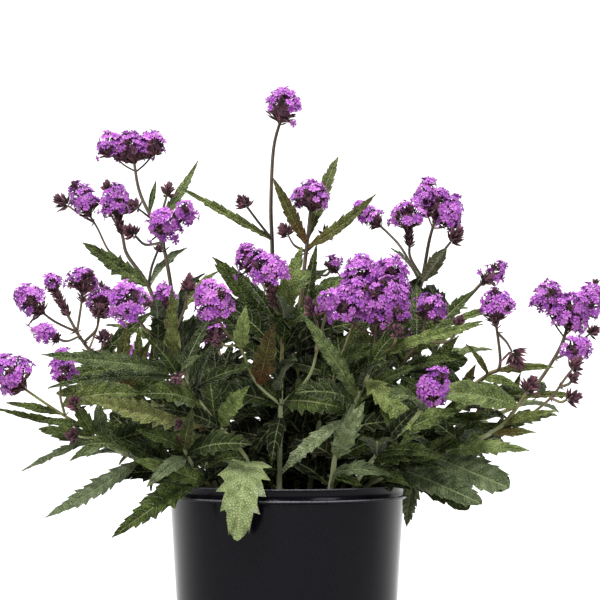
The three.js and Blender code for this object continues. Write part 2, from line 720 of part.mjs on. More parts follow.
// A dome of five-lobed florets that stand out of a smaller core, one on each cell. Its underside is at base.
function flowerDome(base, axis, radius, halfHeight, spin) {
  const full = radius >= fullHead;
  const [lift, stretch] = full
    ? [coreScale * plateDistance, fullStretch]
    : [undersideDepth, domeStretch];
  const side = new THREE.Vector3(0.2, 1, 0.1).cross(axis).normalize().applyAxisAngle(axis, spin);
  const across = new THREE.Vector3().crossVectors(axis, side);
  const height = stretch * halfHeight;
  const placing = new THREE.Matrix4().makeBasis(
    side.clone().multiplyScalar(radius),
    across.clone().multiplyScalar(radius),
    axis.clone().multiplyScalar(height),
  ).setPosition(base.clone().addScaledVector(axis, lift * height + fitGap));
  const rings = cornerRings();
  const points = rings.flat().map((corner) => corner.clone().multiplyScalar(coreScale));
  const faces = [];
  const at = ([ring, k]) => ring * 5 + k;
  for (const cell of floretCells(full)) {
    const corners = cell.map(([ring, k]) => rings[ring][k]);
    const middle = corners.reduce((sum, corner) => sum.add(corner), new THREE.Vector3()).divideScalar(5);
    const first = points.length;
    points.push(middle.clone().multiplyScalar(floretRise));
    corners.forEach((corner, i) => {
      const next = corners[(i + 1) % 5];
      points.push(middle.clone().lerp(corner, lobeReach));
      points.push(middle.clone().lerp(corner.clone().lerp(next, 0.5), lobeWaist));
    });
    for (let i = 0; i < 5; i += 1) {
      const next = (i + 1) % 5;
      const [tip, waist, before] = [first + 1 + 2 * i, first + 2 + 2 * i, first + 2 + 2 * ((i + 4) % 5)];
      faces.push([first, before, tip], [first, tip, waist], [before, waist, tip]);
      faces.push([before, at(cell[i]), waist], [waist, at(cell[i]), at(cell[next])]);
    }
  }
  const underside = points.length;
  points.push(new THREE.Vector3(0, 0, full ? -coreScale * plateDistance : -undersideDepth));
  for (let k = 0; k < 5; k += 1) {
    const next = (k + 1) % 5;
    if (full) {
      faces.push([underside, at([3, next]), at([3, k])]);
    } else {
      faces.push([underside, at([1, k]), at([2, k])], [underside, at([2, next]), at([1, k])]);
    }
  }
  const used = full ? points : points.filter((_, i) => i < 15 || i >= 20);
  const shift = full ? 0 : 5;
  const order = faces.map((face) => face.map((i) => (i < 15 ? i : i - shift)));
  return facets(used.map((point) => point.clone().applyMatrix4(placing)), order);
}

// ---- growing the plant

function nearest(point, others) {
  return others.reduce((best, other) => (other.distanceTo(point) < best.distanceTo(point) ? other : best));
}

// Points along the straight runs of a path, where side shoots and leaves can grow.
function alongRuns(points) {
  const shares = Array.from({ length: samplesPerStep }, (_, i) => (i + 1) / samplesPerStep);
  const runs = points.slice(1).flatMap((end, i) => shares.map((share) => points[i].clone().lerp(end, share)));
  return [points[0], ...runs];
}

// The shoots of a plant as curves. The first starts in the soil and the others on an earlier shoot.
function growShoots(plant) {
  const [x, y] = plant.root;
  const line = [];
  return plant.shoots.map((shoot, index) => {
    const main = index === 0;
    const points = shoot.path.map(vector);
    if (main) {
      points.unshift(new THREE.Vector3(x, y, stemFoot), new THREE.Vector3(x, y, stemFoot + uprightFoot));
    } else {
      points[0] = nearest(points[0], line).clone();
    }
    const curve = new THREE.CatmullRomCurve3(points, false, 'catmullrom', 0.5);
    const steps = points.length - 1;
    const samples = alongRuns(points);
    line.push(...samples);
    const tip = points[points.length - 1];
    const axis = curve.getTangent(1);
    const radii = main ? [mainRadius, shootRadius] : [shootRadius, tipRadius];
    const sides = main ? 4 : 3;
    return { ...shoot, curve, steps, samples, tip, axis, radii, sides };
  });
}

// The domes of a shoot's flower head, each with the middle of its underside, its radius and its half height.
// A compound head has side domes round the first.
function domesOf(shoot) {
  const [radius, halfHeight] = shoot.head;
  const others = (shoot.sideDomes ?? []).map(([x, y, z, ...size]) => ({
    base: vector([x, y, z]),
    radius: size[0],
    halfHeight: size[1],
  }));
  return [{ base: shoot.tip, radius, halfHeight }, ...others];
}

// What a leaf has to stay clear of: points with the room that each needs, and the plant that owns them.
function obstaclesOf(plant, shoots) {
  const list = [];
  for (const shoot of shoots) {
    for (const point of shoot.samples) {
      list.push({ point, room: shoot.radii[0] + stemRoom, owner: plant.name });
    }
    if (shoot.bud) {
      const [radius, length] = shoot.bud;
      const point = shoot.tip.clone().addScaledVector(shoot.axis, length / 2);
      list.push({ point, room: Math.max(radius, length / 2) + 1, owner: plant.name });
    } else {
      for (const { base, radius, halfHeight } of domesOf(shoot)) {
        const point = base.clone().addScaledVector(shoot.axis, halfHeight);
        list.push({ point, room: Math.max(radius, halfHeight) + headRoom, owner: 'flower' });
      }
    }
  }
  return list;
}

function inPotWall(point) {
  const radius = Math.hypot(point.x, point.y);
  const inside = radius > wallTopRadius - wall - rimRoom && radius < rimRadius + rimRoom;
  const inSoil = radius <= rimRadius && point.z < soilLevel + 2 * rimRoom;
  return inSoil || (inside && point.z < potHeight + rimRoom);
}

function bladeSamples(leaf) {
  const samples = [];
  for (let i = 1; i <= bladeSteps; i += 1) {
    const share = i / bladeSteps;
    const reaches = Math.max(1, Math.ceil(halfWidth(leaf, share) / sampleSpacing));
    for (let j = -reaches; j <= reaches; j += 1) {
      const point = edgePoint(leaf, share, Math.abs(j) / reaches, Math.sign(j) || 1);
      samples.push({ point, share });
    }
  }
  return samples;
}

function crowding(samples, owner, obstacles) {
  let hits = 0;
  for (const { point, share } of samples) {
    if (share > heelShare && inPotWall(point)) {
      hits += 1;
    }
    for (const other of obstacles) {
      const reach = other.room + bladeRoom;
      const apart = other.owner !== owner || (other.share > heelShare && share > heelShare);
      if (apart && other.point.distanceToSquared(point) < reach * reach) {
        hits += 1;
      }
    }
  }
  return hits;
}

// Each leaf swings its tip forwards or backwards until its blade stands clear of the neighbours.
function growLeaf(row, owner, line, obstacles) {
  const [heel, tip, width, face, arch] = row;
  let best = null;
  for (let i = 0; i < swings; i += 1) {
    const swing = Math.ceil(i / 2) * swingStep * (i % 2 === 0 ? 1 : -1);
    const leaf = { heel: nearest(vector(heel), line), tip: vector(tip), width, face, arch };
    leaf.tip.y += swing;
    const samples = bladeSamples(leaf);
    const hits = crowding(samples, owner, obstacles);
    if (best === null || hits < best.hits) {
      best = { leaf, samples, hits };
    }
    if (hits === 0) {
      break;
    }
  }
  obstacles.push(...best.samples.map((sample) => ({ ...sample, room: bladeRoom, owner })));
  return best.leaf;
}

// Each plant also bears a low leaf at each filler height, turned to the first side where it stands clear.
function growFillers(plant, index, line, obstacles) {
  const leaves = [];
  fillerHeights.forEach((height, level) => {
    const miss = (point) => Math.abs(point.z - height);
    const heel = line.reduce((best, point) => (miss(point) < miss(best) ? point : best));
    for (let i = 0; i < fillerTurns; i += 1) {
      const angle = (index + 0.5 * level) * goldenAngle + (2 * Math.PI * i) / fillerTurns;
      const tip = heel.clone().add(polar(fillerLength, angle, fillerRise));
      const face = heel.y + tip.y < 0 ? fillerFaces.front : fillerFaces.back;
      const leaf = { heel: heel.clone(), tip, width: fillerWidth, face, arch: fillerArch };
      const samples = bladeSamples(leaf);
      if (crowding(samples, plant.name, obstacles) === 0) {
        obstacles.push(...samples.map((sample) => ({ ...sample, room: bladeRoom, owner: plant.name })));
        leaves.push(leaf);
        break;
      }
    }
  });
  return leaves;
}

function part(name, geometry, kind, roughness) {
  const material = new THREE.MeshStandardMaterial({ color: colours[kind], roughness, metalness: 0 });
  const mesh = new THREE.Mesh(geometry, material);
  mesh.name = name;
  return mesh;
}

// ---- pot and soil

function pot() {
  const lipRadius = rimRadius + rimLip;
  const profile = [
    [0, 0], [footRadius - 1.5, 0], [footRadius, 1.5], [wallTopRadius, potHeight - rimHeight],
    [lipRadius, potHeight - rimHeight], [lipRadius, potHeight - rimHeight + 1.2],
    [rimRadius, potHeight - rimHeight + 1.8], [rimRadius, potHeight - 1.6], [lipRadius, potHeight - 1],
    [lipRadius, potHeight], [rimRadius - wall, potHeight], [wallTopRadius - wall, potHeight - rimHeight],
    [footRadius - wall, floorThickness], [0, floorThickness],
  ].map(([r, z]) => new THREE.Vector2(r, z));
  const shell = new THREE.LatheGeometry(profile, potSides);
  shell.rotateX(Math.PI / 2);
  const drains = [];
  for (let i = 0; i < drainHoles; i += 1) {
    const drain = new THREE.CylinderGeometry(drainRadius, drainRadius, 4 * floorThickness, 6);
    drain.rotateX(Math.PI / 2);
    const centre = polar(drainCircle, (2 * Math.PI * i) / drainHoles, 0);
    drains.push(solid(drain.translate(centre.x, centre.y, 0)));
  }
  return solid(shell).subtract(wasm.Manifold.union(drains));
}

// The soil surface: crumbly ripples that fade out at the wall.
function soil() {
  const bottom = floorThickness + fitGap;
  const radiusAt = (z) => {
    const share = z / (potHeight - rimHeight);
    const inner = THREE.MathUtils.lerp(footRadius, wallTopRadius, share) - wall;
    return inner * Math.cos(Math.PI / potSides) - fitGap;
  };
  const points = [new THREE.Vector3(0, 0, bottom), new THREE.Vector3(0, 0, soilLevel)];
  const edge = potHeight - rimHeight - soilEdgeDrop;
  const rings = [[radiusAt(bottom) - floorThickness, () => bottom], [radiusAt(edge), () => edge]];
  for (const share of soilRings) {
    const ripple = (i) => soilRipple * Math.sin(i * rippleTurn + share * rippleShift);
    rings.push([radiusAt(edge) * share, (i) => soilLevel + ripple(i)]);
  }
  for (const [radius, height] of rings) {
    for (let i = 0; i < soilSides; i += 1) {
      points.push(polar(radius, (2 * Math.PI * i) / soilSides, height(i)));
    }
  }
  const at = (ring, i) => 2 + ring * soilSides + (i % soilSides);
  const faces = [];
  for (let i = 0; i < soilSides; i += 1) {
    faces.push([0, at(0, i + 1), at(0, i)]);
    for (let ring = 0; ring < rings.length - 1; ring += 1) {
      faces.push([at(ring, i), at(ring, i + 1), at(ring + 1, i + 1)]);
      faces.push([at(ring, i), at(ring + 1, i + 1), at(ring + 1, i)]);
    }
    faces.push([at(rings.length - 1, i), at(rings.length - 1, i + 1), 1]);
  }
  const holes = plants.map(({ root: [x, y] }) => {
    const hole = new THREE.CylinderGeometry(stemHoleRadius, stemHoleRadius, stemHoleLength, 4);
    hole.rotateX(Math.PI / 2);
    return solid(hole.translate(x, y, stemFoot - fitGap + stemHoleLength / 2));
  });
  return solid(facets(points, faces)).subtract(wasm.Manifold.union(holes));
}

const verbena = new THREE.Group();
verbena.add(part('pot', geometryOf(pot()), 'pot', 0.35));
verbena.add(part('soil', geometryOf(soil()), 'soil', 1));

const grown = plants.map((plant) => ({ plant, shoots: growShoots(plant) }));
const obstacles = grown.flatMap(({ plant, shoots }) => obstaclesOf(plant, shoots));

for (const growth of grown) {
  const { plant, shoots } = growth;
  growth.line = shoots.flatMap((shoot) => shoot.samples);
  growth.leaves = plant.leaves.map((row) => growLeaf(row, plant.name, growth.line, obstacles));
}
grown.forEach((growth, index) => {
  growth.leaves.push(...growFillers(growth.plant, index, growth.line, obstacles));
});

for (const { plant, shoots, leaves } of grown) {
  const blades = leaves.map((leaf) => solid(leafBlade(leaf)));
  const body = joined([...shoots.map((shoot) => solid(stemRod(shoot))), ...blades]);
  verbena.add(part(`stem_${plant.name}`, geometryOf(body), 'stem', 0.7));
  shoots.filter((shoot) => shoot.head).forEach((shoot, index) => {
    const domes = domesOf(shoot).map(({ base, radius, halfHeight }, i) => (
      solid(flowerDome(base, shoot.axis, radius, halfHeight, index + i))
    ));
    const letter = String.fromCharCode('a'.charCodeAt(0) + index);
    verbena.add(part(`flower_${plant.name}_${letter}`, geometryOf(joined(domes)), 'flower', 0.8));
  });
}

export default verbena;
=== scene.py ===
"""A potted verbena in flower: fine leaves, florets, calyces, pot and compost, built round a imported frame.

All sizes in the plant table are millimetres in the frame's own axes: +Z up, the front at -Y.
"""

import math
import random
from collections import namedtuple
from functools import partial

import bpy
import numpy as np
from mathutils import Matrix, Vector

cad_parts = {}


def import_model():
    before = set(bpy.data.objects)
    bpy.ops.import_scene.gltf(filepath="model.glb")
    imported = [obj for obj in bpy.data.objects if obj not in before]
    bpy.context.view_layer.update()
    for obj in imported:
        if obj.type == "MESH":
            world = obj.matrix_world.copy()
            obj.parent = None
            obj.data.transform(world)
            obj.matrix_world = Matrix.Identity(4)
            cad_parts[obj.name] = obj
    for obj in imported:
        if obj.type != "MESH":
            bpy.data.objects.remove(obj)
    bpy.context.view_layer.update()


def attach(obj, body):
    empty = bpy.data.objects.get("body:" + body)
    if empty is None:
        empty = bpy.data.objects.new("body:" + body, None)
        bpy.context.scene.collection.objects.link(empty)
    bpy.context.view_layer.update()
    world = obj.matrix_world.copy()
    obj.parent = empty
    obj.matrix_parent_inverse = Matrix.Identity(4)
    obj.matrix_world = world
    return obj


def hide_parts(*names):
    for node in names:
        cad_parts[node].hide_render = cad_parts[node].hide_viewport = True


bl_info = {
    "name": "Potted Verbena",
    "version": (1, 0, 0),
    "blender": (4, 5, 0),
    "location": "3D Viewport > Sidebar > Verbena",
    "description": "Builds a flowering verbena in its nursery pot around a packed frame",
    "category": "Add Mesh",
}

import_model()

BODY = "root"
MM = 0.001

# ---- the plant table
# Each plant stands in the compost at its root. A shoot is a path of points. It ends in a flower head (radius,
# half height, length of the dark spike below it) or in a bud spike (radius, length), and a compound head has
# side domes (x, y, z, radius, half height). A leaf is a heel, a tip, a width, the turn of its upper face from
# straight up (0) towards the front (90) or the back (-90), its arch as a share of its length, its tone from
# shaded (0) to sunlit (1), and its tint: brown at the heel (above 0) or grey with down (below 0). The tone
# and tint of a leaf without them are drawn. The added leaves aren't in the frame.
Shoot = namedtuple("Shoot", "path head bud domes", defaults=(None, None, ()))
Plant = namedtuple("Plant", "name root shoots leaves added", defaults=((),))

PLANTS = (
    Plant("tall_centre", (-4, 14), (
        Shoot(((-5, 17, 214), (-11, 17, 290), (-12, 15, 340), (-13, 13, 372), (-11, 12, 417),
            (-5, 10, 442)), head=(18, 13, 5)),
        Shoot(((-13, 14, 343), (-23, 10, 359), (-32, 6, 371)), bud=(5.5, 12)),
    ), (
        ((-13, 14, 342), (-87, 0, 387), 10, 50, 0, 0.52, 0.25),
        ((-11, 17, 280), (-60, 6, 331), 16, 60, 0.06, 0.38),
        ((-11, 17, 286), (34, 30, 322), 14, 50, 0.06, 0.4), ((-5, 17, 214), (-58, 60, 236), 20, -20, 0.1),
        ((-5, 17, 214), (40, 70, 240), 20, -20, 0.1), ((-8, 17, 250), (-20, 70, 290), 18, -30, 0.08),
    ), (
        ((-12, 15, 268), (-58, 4, 325), 20, 60, 0.05, 0.36),
        ((-9, 17, 232), (-56, 32, 288), 24, 70, 0.04, 0.14),
    )),
    Plant("centre_right", (8, -4), (
        Shoot(((9, -10, 236), (10, -12, 287), (12, -12, 305), (15, -10, 332), (17, -8, 350),
            (19, -6, 372)), head=(17.5, 11, 6)),
        Shoot(((14, -9, 334), (23, -2, 342), (30, 2, 348)), bud=(5.5, 12)),
        Shoot(((14, -9, 334), (6, -4, 340), (1, -1, 348)), bud=(6, 12)),
        Shoot(((14, -11, 318), (30, 6, 316), (36, 9, 322)), head=(9, 7, 3)),
    ), (
        ((17, -8, 346), (42, 44, 415), 12, 65, 0.06, 0.4, 0.3),
        ((15, -8, 339), (70, -22, 380), 12, 55, -0.07, 0.5, 0.5),
        ((15, -8, 340), (-11, -26, 393), 11, 70, -0.02, 0.52, 0.9),
        ((10, -12, 290), (54, -4, 318), 13, 40, 0.08, 0.35),
        ((9, -10, 236), (52, 14, 262), 18, 40, 0.1, 0.3),
        ((9, -9, 220), (-36, -14, 262), 16, 60, 0.08, 0.44, -0.2),
    ), (
        ((9, -11, 262), (24, 16, 342), 11, 70, 0.04, 0.38, 0.1),
    )),
    Plant("front_middle", (-6, -34), (
        Shoot(((-5, -40, 214), (-4, -46, 276), (-9, -54, 290), (-14, -60, 312)), head=(17, 10.5, 24)),
        Shoot(((-4, -46, 278), (-19, -34, 309), (-27, -28, 321)), head=(14, 11, 5)),
        Shoot(((-5, -40, 216), (-24, -50, 232), (-36, -58, 259), (-48, -62, 273),
            (-54, -64, 286)), head=(17, 15, 5)),
        Shoot(((-5, -40, 216), (17, -52, 236), (25, -66, 264), (31, -80, 290)), head=(9, 9, 4)),
        Shoot(((24, -62, 258), (24, -68, 275), (21, -70, 284)), bud=(5.5, 18)),
        Shoot(((-41, -59, 262), (-47, -70, 261), (-51, -74, 264)), bud=(4.5, 9)),
    ), (
        ((-36, -58, 259), (-31, -76, 292), 14, 75, 0.1, 0.78),
        ((-22, -49, 231), (-10, -68, 279), 18, 75, 0.05, 0.32, 0.9),
        ((-4, -46, 281), (12, -66, 338), 18, 78, 0.05, 0.7),
        ((-5, -40, 208), (-12, -66, 168), 14, 60, 0.2, 0.2),
        ((-5, -40, 204), (-30, -64, 168), 11, 60, 0.2, 0.15),
        ((-3, -41, 216), (46, -74, 212), 24, 70, 0.1, 0.35),
        ((-5, -40, 214), (-36, -30, 250), 15, 50, 0.06, 0.6, 0.1),
    )),
    Plant("front_left", (-30, -48), (
        Shoot(((-32, -54, 172), (-53, -62, 198), (-70, -70, 220), (-88, -76, 243), (-106, -80, 271),
            (-117, -83, 286)), head=(18, 14, 5)),
        Shoot(((-88, -76, 243), (-93, -72, 273), (-94, -70, 294)), head=(10, 8, 5)),
        Shoot(((-93, -74, 262), (-79, -66, 289), (-77, -64, 303)), bud=(5, 14)),
        Shoot(((-88, -76, 243), (-85, -85, 238)), bud=(4.5, 9)),
        Shoot(((-62, -66, 210), (-76, -78, 205), (-80, -80, 202)), bud=(3.5, 8)),
    ), (
        ((-52, -62, 197), (-157, -98, 222), 23, 62, -0.03, 0.78, 0.75),
        ((-52, -62, 199), (-29, -86, 230), 17, 70, 0.05, 0.66),
        ((-86, -75, 243), (-87, -92, 307), 10, 85, 0.03, 0.52, 0.5),
        ((-84, -75, 240), (-66, -88, 254), 8, 60, 0.05, 0.55, -0.5),
        ((-94, -77, 241), (-186, -104, 255), 17, 60, 0.01, 0.42, -0.25),
        ((-89, -74, 233), (-183, -96, 229), 13, 40, 0.06, 0.36, -0.15),
        ((-32, -52, 168), (-38, -106, 111), 39, 72, 0.34, 0.84, -0.35),
        ((-33, -54, 174), (-62, -84, 166), 13, 60, 0.2, 0.3),
        ((-56, -63, 202), (-62, -50, 249), 16, 70, 0.05, 0.26, -0.1),
    ), (
        ((-50, -61, 196), (-58, -34, 262), 20, 70, 0.05, 0.12),
    )),
    Plant("left_behind", (-34, 10), (
        Shoot(((-62, 14, 190), (-84, 16, 244), (-91, 16, 290), (-101, 20, 343), (-119, 26, 382),
            (-125, 32, 411)), head=(15, 12, 5),
            domes=((-143, 32, 415, 13, 10), (-108, 30, 416, 12, 10))),
        Shoot(((-99, 19, 336), (-99, 6, 346), (-99, -2, 352)), head=(15, 14, 4),
            domes=((-82, -6, 362, 11, 12),)),
        Shoot(((-104, 20, 355), (-100, 27, 373), (-98, 30, 381)), bud=(5.5, 13)),
        Shoot(((-109, 22, 361), (-116, 14, 367), (-120, 11, 370)), bud=(5.5, 11)),
        Shoot(((-100, 20, 340), (-114, 12, 341), (-122, 7, 348)), bud=(6, 13)),
    ), (
        ((-103, 22, 358), (-73, 46, 411), 9, 65, -0.1, 0.5, -0.2),
        ((-110, 25, 369), (-107, 36, 394), 5, 60, 0.03, 0.35),
        ((-84, 16, 246), (-120, 20, 276), 10, 60, 0.05), ((-90, 16, 286), (-60, 40, 318), 12, 50, 0.06),
        ((-90, 16, 282), (-128, 0, 300), 12, 60, 0.06), ((-62, 14, 190), (-118, 58, 214), 22, -20, 0.1),
        ((-64, 14, 194), (-40, 44, 240), 18, 60, 0.08, 0.35),
        ((-78, 15, 230), (-50, -16, 262), 16, 60, 0.06, 0.3),
    ), (
        ((-64, 14, 196), (-44, 22, 262), 20, 70, 0.05, 0.12),
        ((-64, 14, 196), (-84, 26, 256), 18, 70, 0.05, 0.15),
    )),
    Plant("far_left_tall", (-52, 30), (
        Shoot(((-78, 38, 205), (-100, 44, 270), (-114, 46, 308), (-131, 48, 333), (-135, 50, 347),
            (-140, 50, 369)), head=(14.5, 12, 20)),
        Shoot(((-118, 47, 314), (-144, 54, 333), (-157, 60, 356), (-165, 61, 369)), head=(13, 14, 5)),
        Shoot(((-160, 60, 361), (-173, 74, 368), (-183, 78, 375)), bud=(7, 14)),
        Shoot(((-116, 46, 307), (-111, 42, 323), (-106, 38, 336)), bud=(3, 7)),
        Shoot(((-137, 49, 352), (-147, 66, 369), (-149, 70, 386)), bud=(4.5, 11)),
    ), (
        ((-114, 46, 308), (-166, 28, 343), 18, 62, -0.02, 0.5, -0.1),
        ((-114, 46, 308), (-84, 74, 340), 14, -50, 0.06), ((-76, 37, 200), (-142, 66, 186), 22, 10, 0.14),
        ((-78, 38, 208), (-60, 96, 226), 22, -20, 0.12), ((-96, 42, 256), (-150, 66, 276), 18, 10, 0.08),
        ((-96, 42, 256), (-70, 90, 284), 16, -40, 0.08),
    )),
    Plant("far_left", (-56, -8), (
        Shoot(((-82, -14, 190), (-129, -20, 220), (-143, -22, 241), (-155, -22, 255), (-166, -22, 271),
            (-185, -18, 306)), head=(9, 7, 26)),
        Shoot(((-166, -22, 271), (-182, -30, 279), (-194, -33, 288)), head=(14, 12, 5)),
        Shoot(((-164, -22, 269), (-173, -36, 264), (-181, -42, 267)), head=(10, 10, 4)),
        Shoot(((-166, -22, 271), (-164, -14, 288), (-162, -10, 305)), head=(15, 8, 12)),
        Shoot(((-157, -22, 258), (-151, -2, 277), (-151, 14, 293)), head=(13, 10, 5)),
        Shoot(((-155, -22, 255), (-146, -38, 257), (-144, -44, 264)), bud=(5.5, 14)),
        Shoot(((-161, -22, 263), (-150, -32, 273), (-148, -36, 283)), bud=(5.5, 13)),
    ), (
        ((-143, -22, 241), (-180, -50, 232), 13, 60, 0.1, 0.4),
        ((-112, -20, 238), (-150, 14, 240), 16, 20, 0.1, 0.35),
        ((-129, -20, 220), (-105, -50, 267), 12, 75, 0.06, 0.4, 0.7),
        ((-82, -14, 196), (-140, 20, 206), 20, 20, 0.12, 0.3),
        ((-84, -15, 200), (-104, -50, 226), 18, 65, 0.08, 0.3),
        ((-100, -18, 222), (-130, -48, 226), 16, 60, 0.1, 0.35),
    ), (
        ((-117, -21, 238), (-126, -28, 278), 15, 76, 0.04, 0.46, 0.7),
        ((-112, -20, 222), (-117, -26, 274), 13, 76, 0.04, 0.42, 0.2),
        ((-96, -17, 216), (-106, -24, 264), 15, 74, 0.04, 0.2),
    )),
    Plant("low_left", (-62, -32), (
        Shoot(((-84, -40, 160), (-105, -46, 166), (-144, -52, 184), (-158, -54, 196), (-180, -56, 210),
            (-207, -58, 229)), head=(18, 16, 5)),
        Shoot(((-176, -56, 207), (-177, -52, 221), (-176, -50, 235)), head=(12, 11, 5)),
        Shoot(((-160, -54, 197), (-161, -60, 206), (-163, -62, 211)), bud=(6, 12)),
        Shoot(((-151, -53, 188), (-158, -62, 189), (-163, -64, 190)), bud=(5, 10)),
    ), (
        ((-179, -56, 208), (-217, -74, 217), 9, 55, 0, 0.4, 0.1),
        ((-162, -54, 199), (-190, -76, 203), 8, 55, 0.02, 0.45),
        ((-143, -50, 184), (-148, -44, 216), 12, 70, 0.06, 0.5, -0.5),
        ((-116, -48, 169), (-188, -72, 127), 16, 60, -0.04, 0.58, -0.8),
        ((-153, -53, 187), (-207, -66, 163), 9, 40, 0.02, 0.45, -0.6),
        ((-144, -52, 183), (-168, -70, 172), 10, 60, 0.02, 0.62, -0.4),
        ((-105, -46, 166), (-160, -8, 172), 18, 20, 0.12, 0.5, -0.4),
        ((-96, -43, 164), (-120, -78, 186), 14, 65, 0.08, 0.16),
    ), (
        ((-92, -42, 162), (-140, -28, 207), 28, 70, 0.05, 0.12),
        ((-88, -41, 161), (-122, -22, 176), 24, 60, 0.1, 0.1),
        ((-86, -41, 161), (-134, -34, 158), 20, 55, 0.06, 0.12),
        ((-150, -53, 190), (-166, -64, 217), 13, 70, 0.05, 0.5),
        ((-160, -54, 199), (-228, -66, 213), 8, 50, -0.04, 0.5, 0.1),
    )),
    Plant("low_front_left", (-58, -54), (
        Shoot(((-68, -60, 158), (-76, -66, 172), (-83, -71, 186)), bud=(2.5, 7)),
    ), (
        ((-77, -67, 174), (-108, -94, 152), 13, 62, 0.12, 0.56, -0.7),
        ((-68, -60, 159), (-135, -98, 113), 20, 62, 0.03, 0.36),
        ((-79, -69, 178), (-116, -98, 196), 15, 62, 0.08, 0.4),
        ((-72, -63, 166), (-50, -92, 178), 13, 66, 0.1, 0.2),
        ((-80, -69, 180), (-72, -84, 214), 11, 80, 0.05, 0.3, 0.2),
    ), (
        ((-68, -60, 158), (-118, -82, 130), 20, 60, 0.06, 0.3),
    )),
    Plant("cluster_front", (34, -58), (
        Shoot(((36, -64, 160), (39, -66, 180), (49, -66, 208), (63, -64, 238), (68, -62, 262),
            (69, -62, 280)), head=(15, 15, 3),
            domes=((45, -62, 283, 14, 14), (87, -64, 282, 12, 13), (57, -56, 303, 16, 15),
                (82, -54, 304, 16, 14))),
        Shoot(((68, -63, 248), (82, -74, 262), (84, -78, 269)), bud=(5, 12)),
    ), (
        ((37, -66, 172), (60, -90, 218), 20, 78, 0.06, 0.72, -0.6),
        ((48, -66, 206), (-6, -94, 158), 13, 62, 0.12, 0.8, -0.75),
        ((56, -65, 224), (11, -82, 287), 13, 72, 0.05, 0.54, -0.2),
        ((62, -64, 236), (96, -94, 196), 20, 64, 0.14, 0.74, 0.1),
        ((73, -62, 256), (150, -86, 278), 12, 58, 0.05, 0.58, 0.1),
        ((37, -64, 161), (84, -96, 160), 14, 60, 0.16, 0.46, -0.5),
        ((37, -64, 159), (58, -92, 152), 10, 60, 0.1, 0.5),
    )),
    Plant("cluster_back", (18, -26), (
        Shoot(((26, -32, 200), (42, -38, 248), (54, -42, 282)), bud=(5, 12)),
    ), (
        ((26, -32, 200), (30, -54, 250), 16, 75, 0.06, 0.25),
        ((42, -38, 248), (104, -36, 266), 15, 55, 0.08, 0.5),
        ((40, -37, 242), (14, -30, 284), 13, 60, 0.06, 0.3),
        ((26, -32, 202), (78, -30, 224), 18, 50, 0.1, 0.3),
        ((22, -30, 186), (70, -56, 190), 18, 60, 0.12, 0.2),
    ), (
        ((20, -28, 180), (-14, 6, 216), 24, 60, 0.1, 0.1), ((20, -28, 176), (44, 8, 206), 24, 60, 0.1, 0.1),
        ((42, -38, 246), (38, -18, 284), 14, 70, 0.05, 0.2),
        ((18, -26, 152), (-14, -6, 168), 20, 60, 0.1, 0.06),
    )),
    Plant("right_middle", (44, -22), (
        Shoot(((64, -26, 190), (88, -30, 240), (104, -32, 264), (110, -33, 285)), head=(15, 11.5, 6)),
        Shoot(((104, -32, 262), (126, -50, 264), (132, -54, 276)), bud=(4.5, 11)),
    ), (
        ((94, -31, 250), (149, 4, 304), 17, 60, 0.03, 0.32),
        ((98, -31, 256), (154, -34, 280), 11, 60, 0.05, 0.62),
        ((90, -30, 244), (60, -14, 286), 14, 60, 0.06, 0.42),
        ((88, -30, 240), (134, -56, 250), 13, 60, 0.08, 0.4),
        ((64, -26, 190), (112, -8, 214), 18, 40, 0.1, 0.3),
        ((66, -26, 196), (90, -54, 228), 15, 70, 0.08, 0.35),
    ), (
        ((60, -25, 184), (36, 10, 226), 24, 60, 0.1, 0.1),
    )),
    Plant("tall_right", (34, 22), (
        Shoot(((60, 34, 210), (92, 46, 270), (108, 50, 304), (112, 52, 319), (117, 55, 346),
            (123, 57, 366)), head=(13, 12, 8),
            domes=((113, 56, 375, 11, 12), (134, 54, 358, 12, 13))),
        Shoot(((111, 52, 316), (101, 46, 331), (100, 44, 342), (99, 42, 357)), head=(16, 10, 18)),
        Shoot(((109, 51, 310), (95, 60, 338), (83, 65, 352), (74, 66, 360)), head=(11, 12, 5)),
        Shoot(((112, 52, 319), (126, 50, 334), (134, 48, 344)), bud=(6.5, 14)),
    ), (
        ((110, 51, 312), (130, 40, 339), 14, -70, 0, 0.6, 0.6),
        ((110, 51, 312), (87, 86, 340), 9, -40, 0.05), ((88, 46, 270), (150, 74, 290), 16, 20, 0.08),
        ((88, 46, 270), (64, 98, 278), 18, -30, 0.1), ((60, 34, 210), (124, 86, 214), 24, 0, 0.12),
        ((62, 35, 216), (30, 84, 252), 18, -30, 0.08),
        ((76, 41, 244), (52, 12, 284), 14, 60, 0.06, 0.5, 0.2),
    )),
    Plant("right", (58, 14), (
        Shoot(((84, 18, 190), (112, 22, 240), (132, 24, 280), (153, 26, 305),
            (161, 26, 313)), head=(10.5, 12, 6)),
    ), (
        ((106, 21, 228), (138, 4, 268), 14, 65, 0.05, 0.5), ((112, 22, 240), (168, 50, 256), 16, 20, 0.08),
        ((84, 18, 190), (152, 48, 196), 22, 10, 0.12, 0.65),
        ((86, 18, 194), (98, -4, 244), 14, 70, 0.06, 0.5), ((130, 24, 276), (168, 8, 290), 9, 55, 0.05, 0.6),
    ), (
        ((112, 22, 236), (145, 8, 248), 24, 70, 0.05, 0.3),
    )),
    Plant("far_right_behind", (66, -4), (
        Shoot(((100, -4, 172), (150, 0, 198), (184, 2, 212), (201, 4, 230), (218, 6, 256),
            (226, 8, 277)), head=(15, 13, 6),
            domes=((208, 14, 292, 14, 10), (240, 6, 288, 13, 12))),
        Shoot(((213, 5, 248), (220, -4, 252), (226, -8, 255)), head=(12, 10, 4)),
        Shoot(((222, 7, 266), (236, 14, 264), (244, 16, 269)), bud=(4.5, 10)),
    ), (
        ((193, 3, 220), (230, -14, 220), 8, 55, 0.05, 0.5, 0.3),
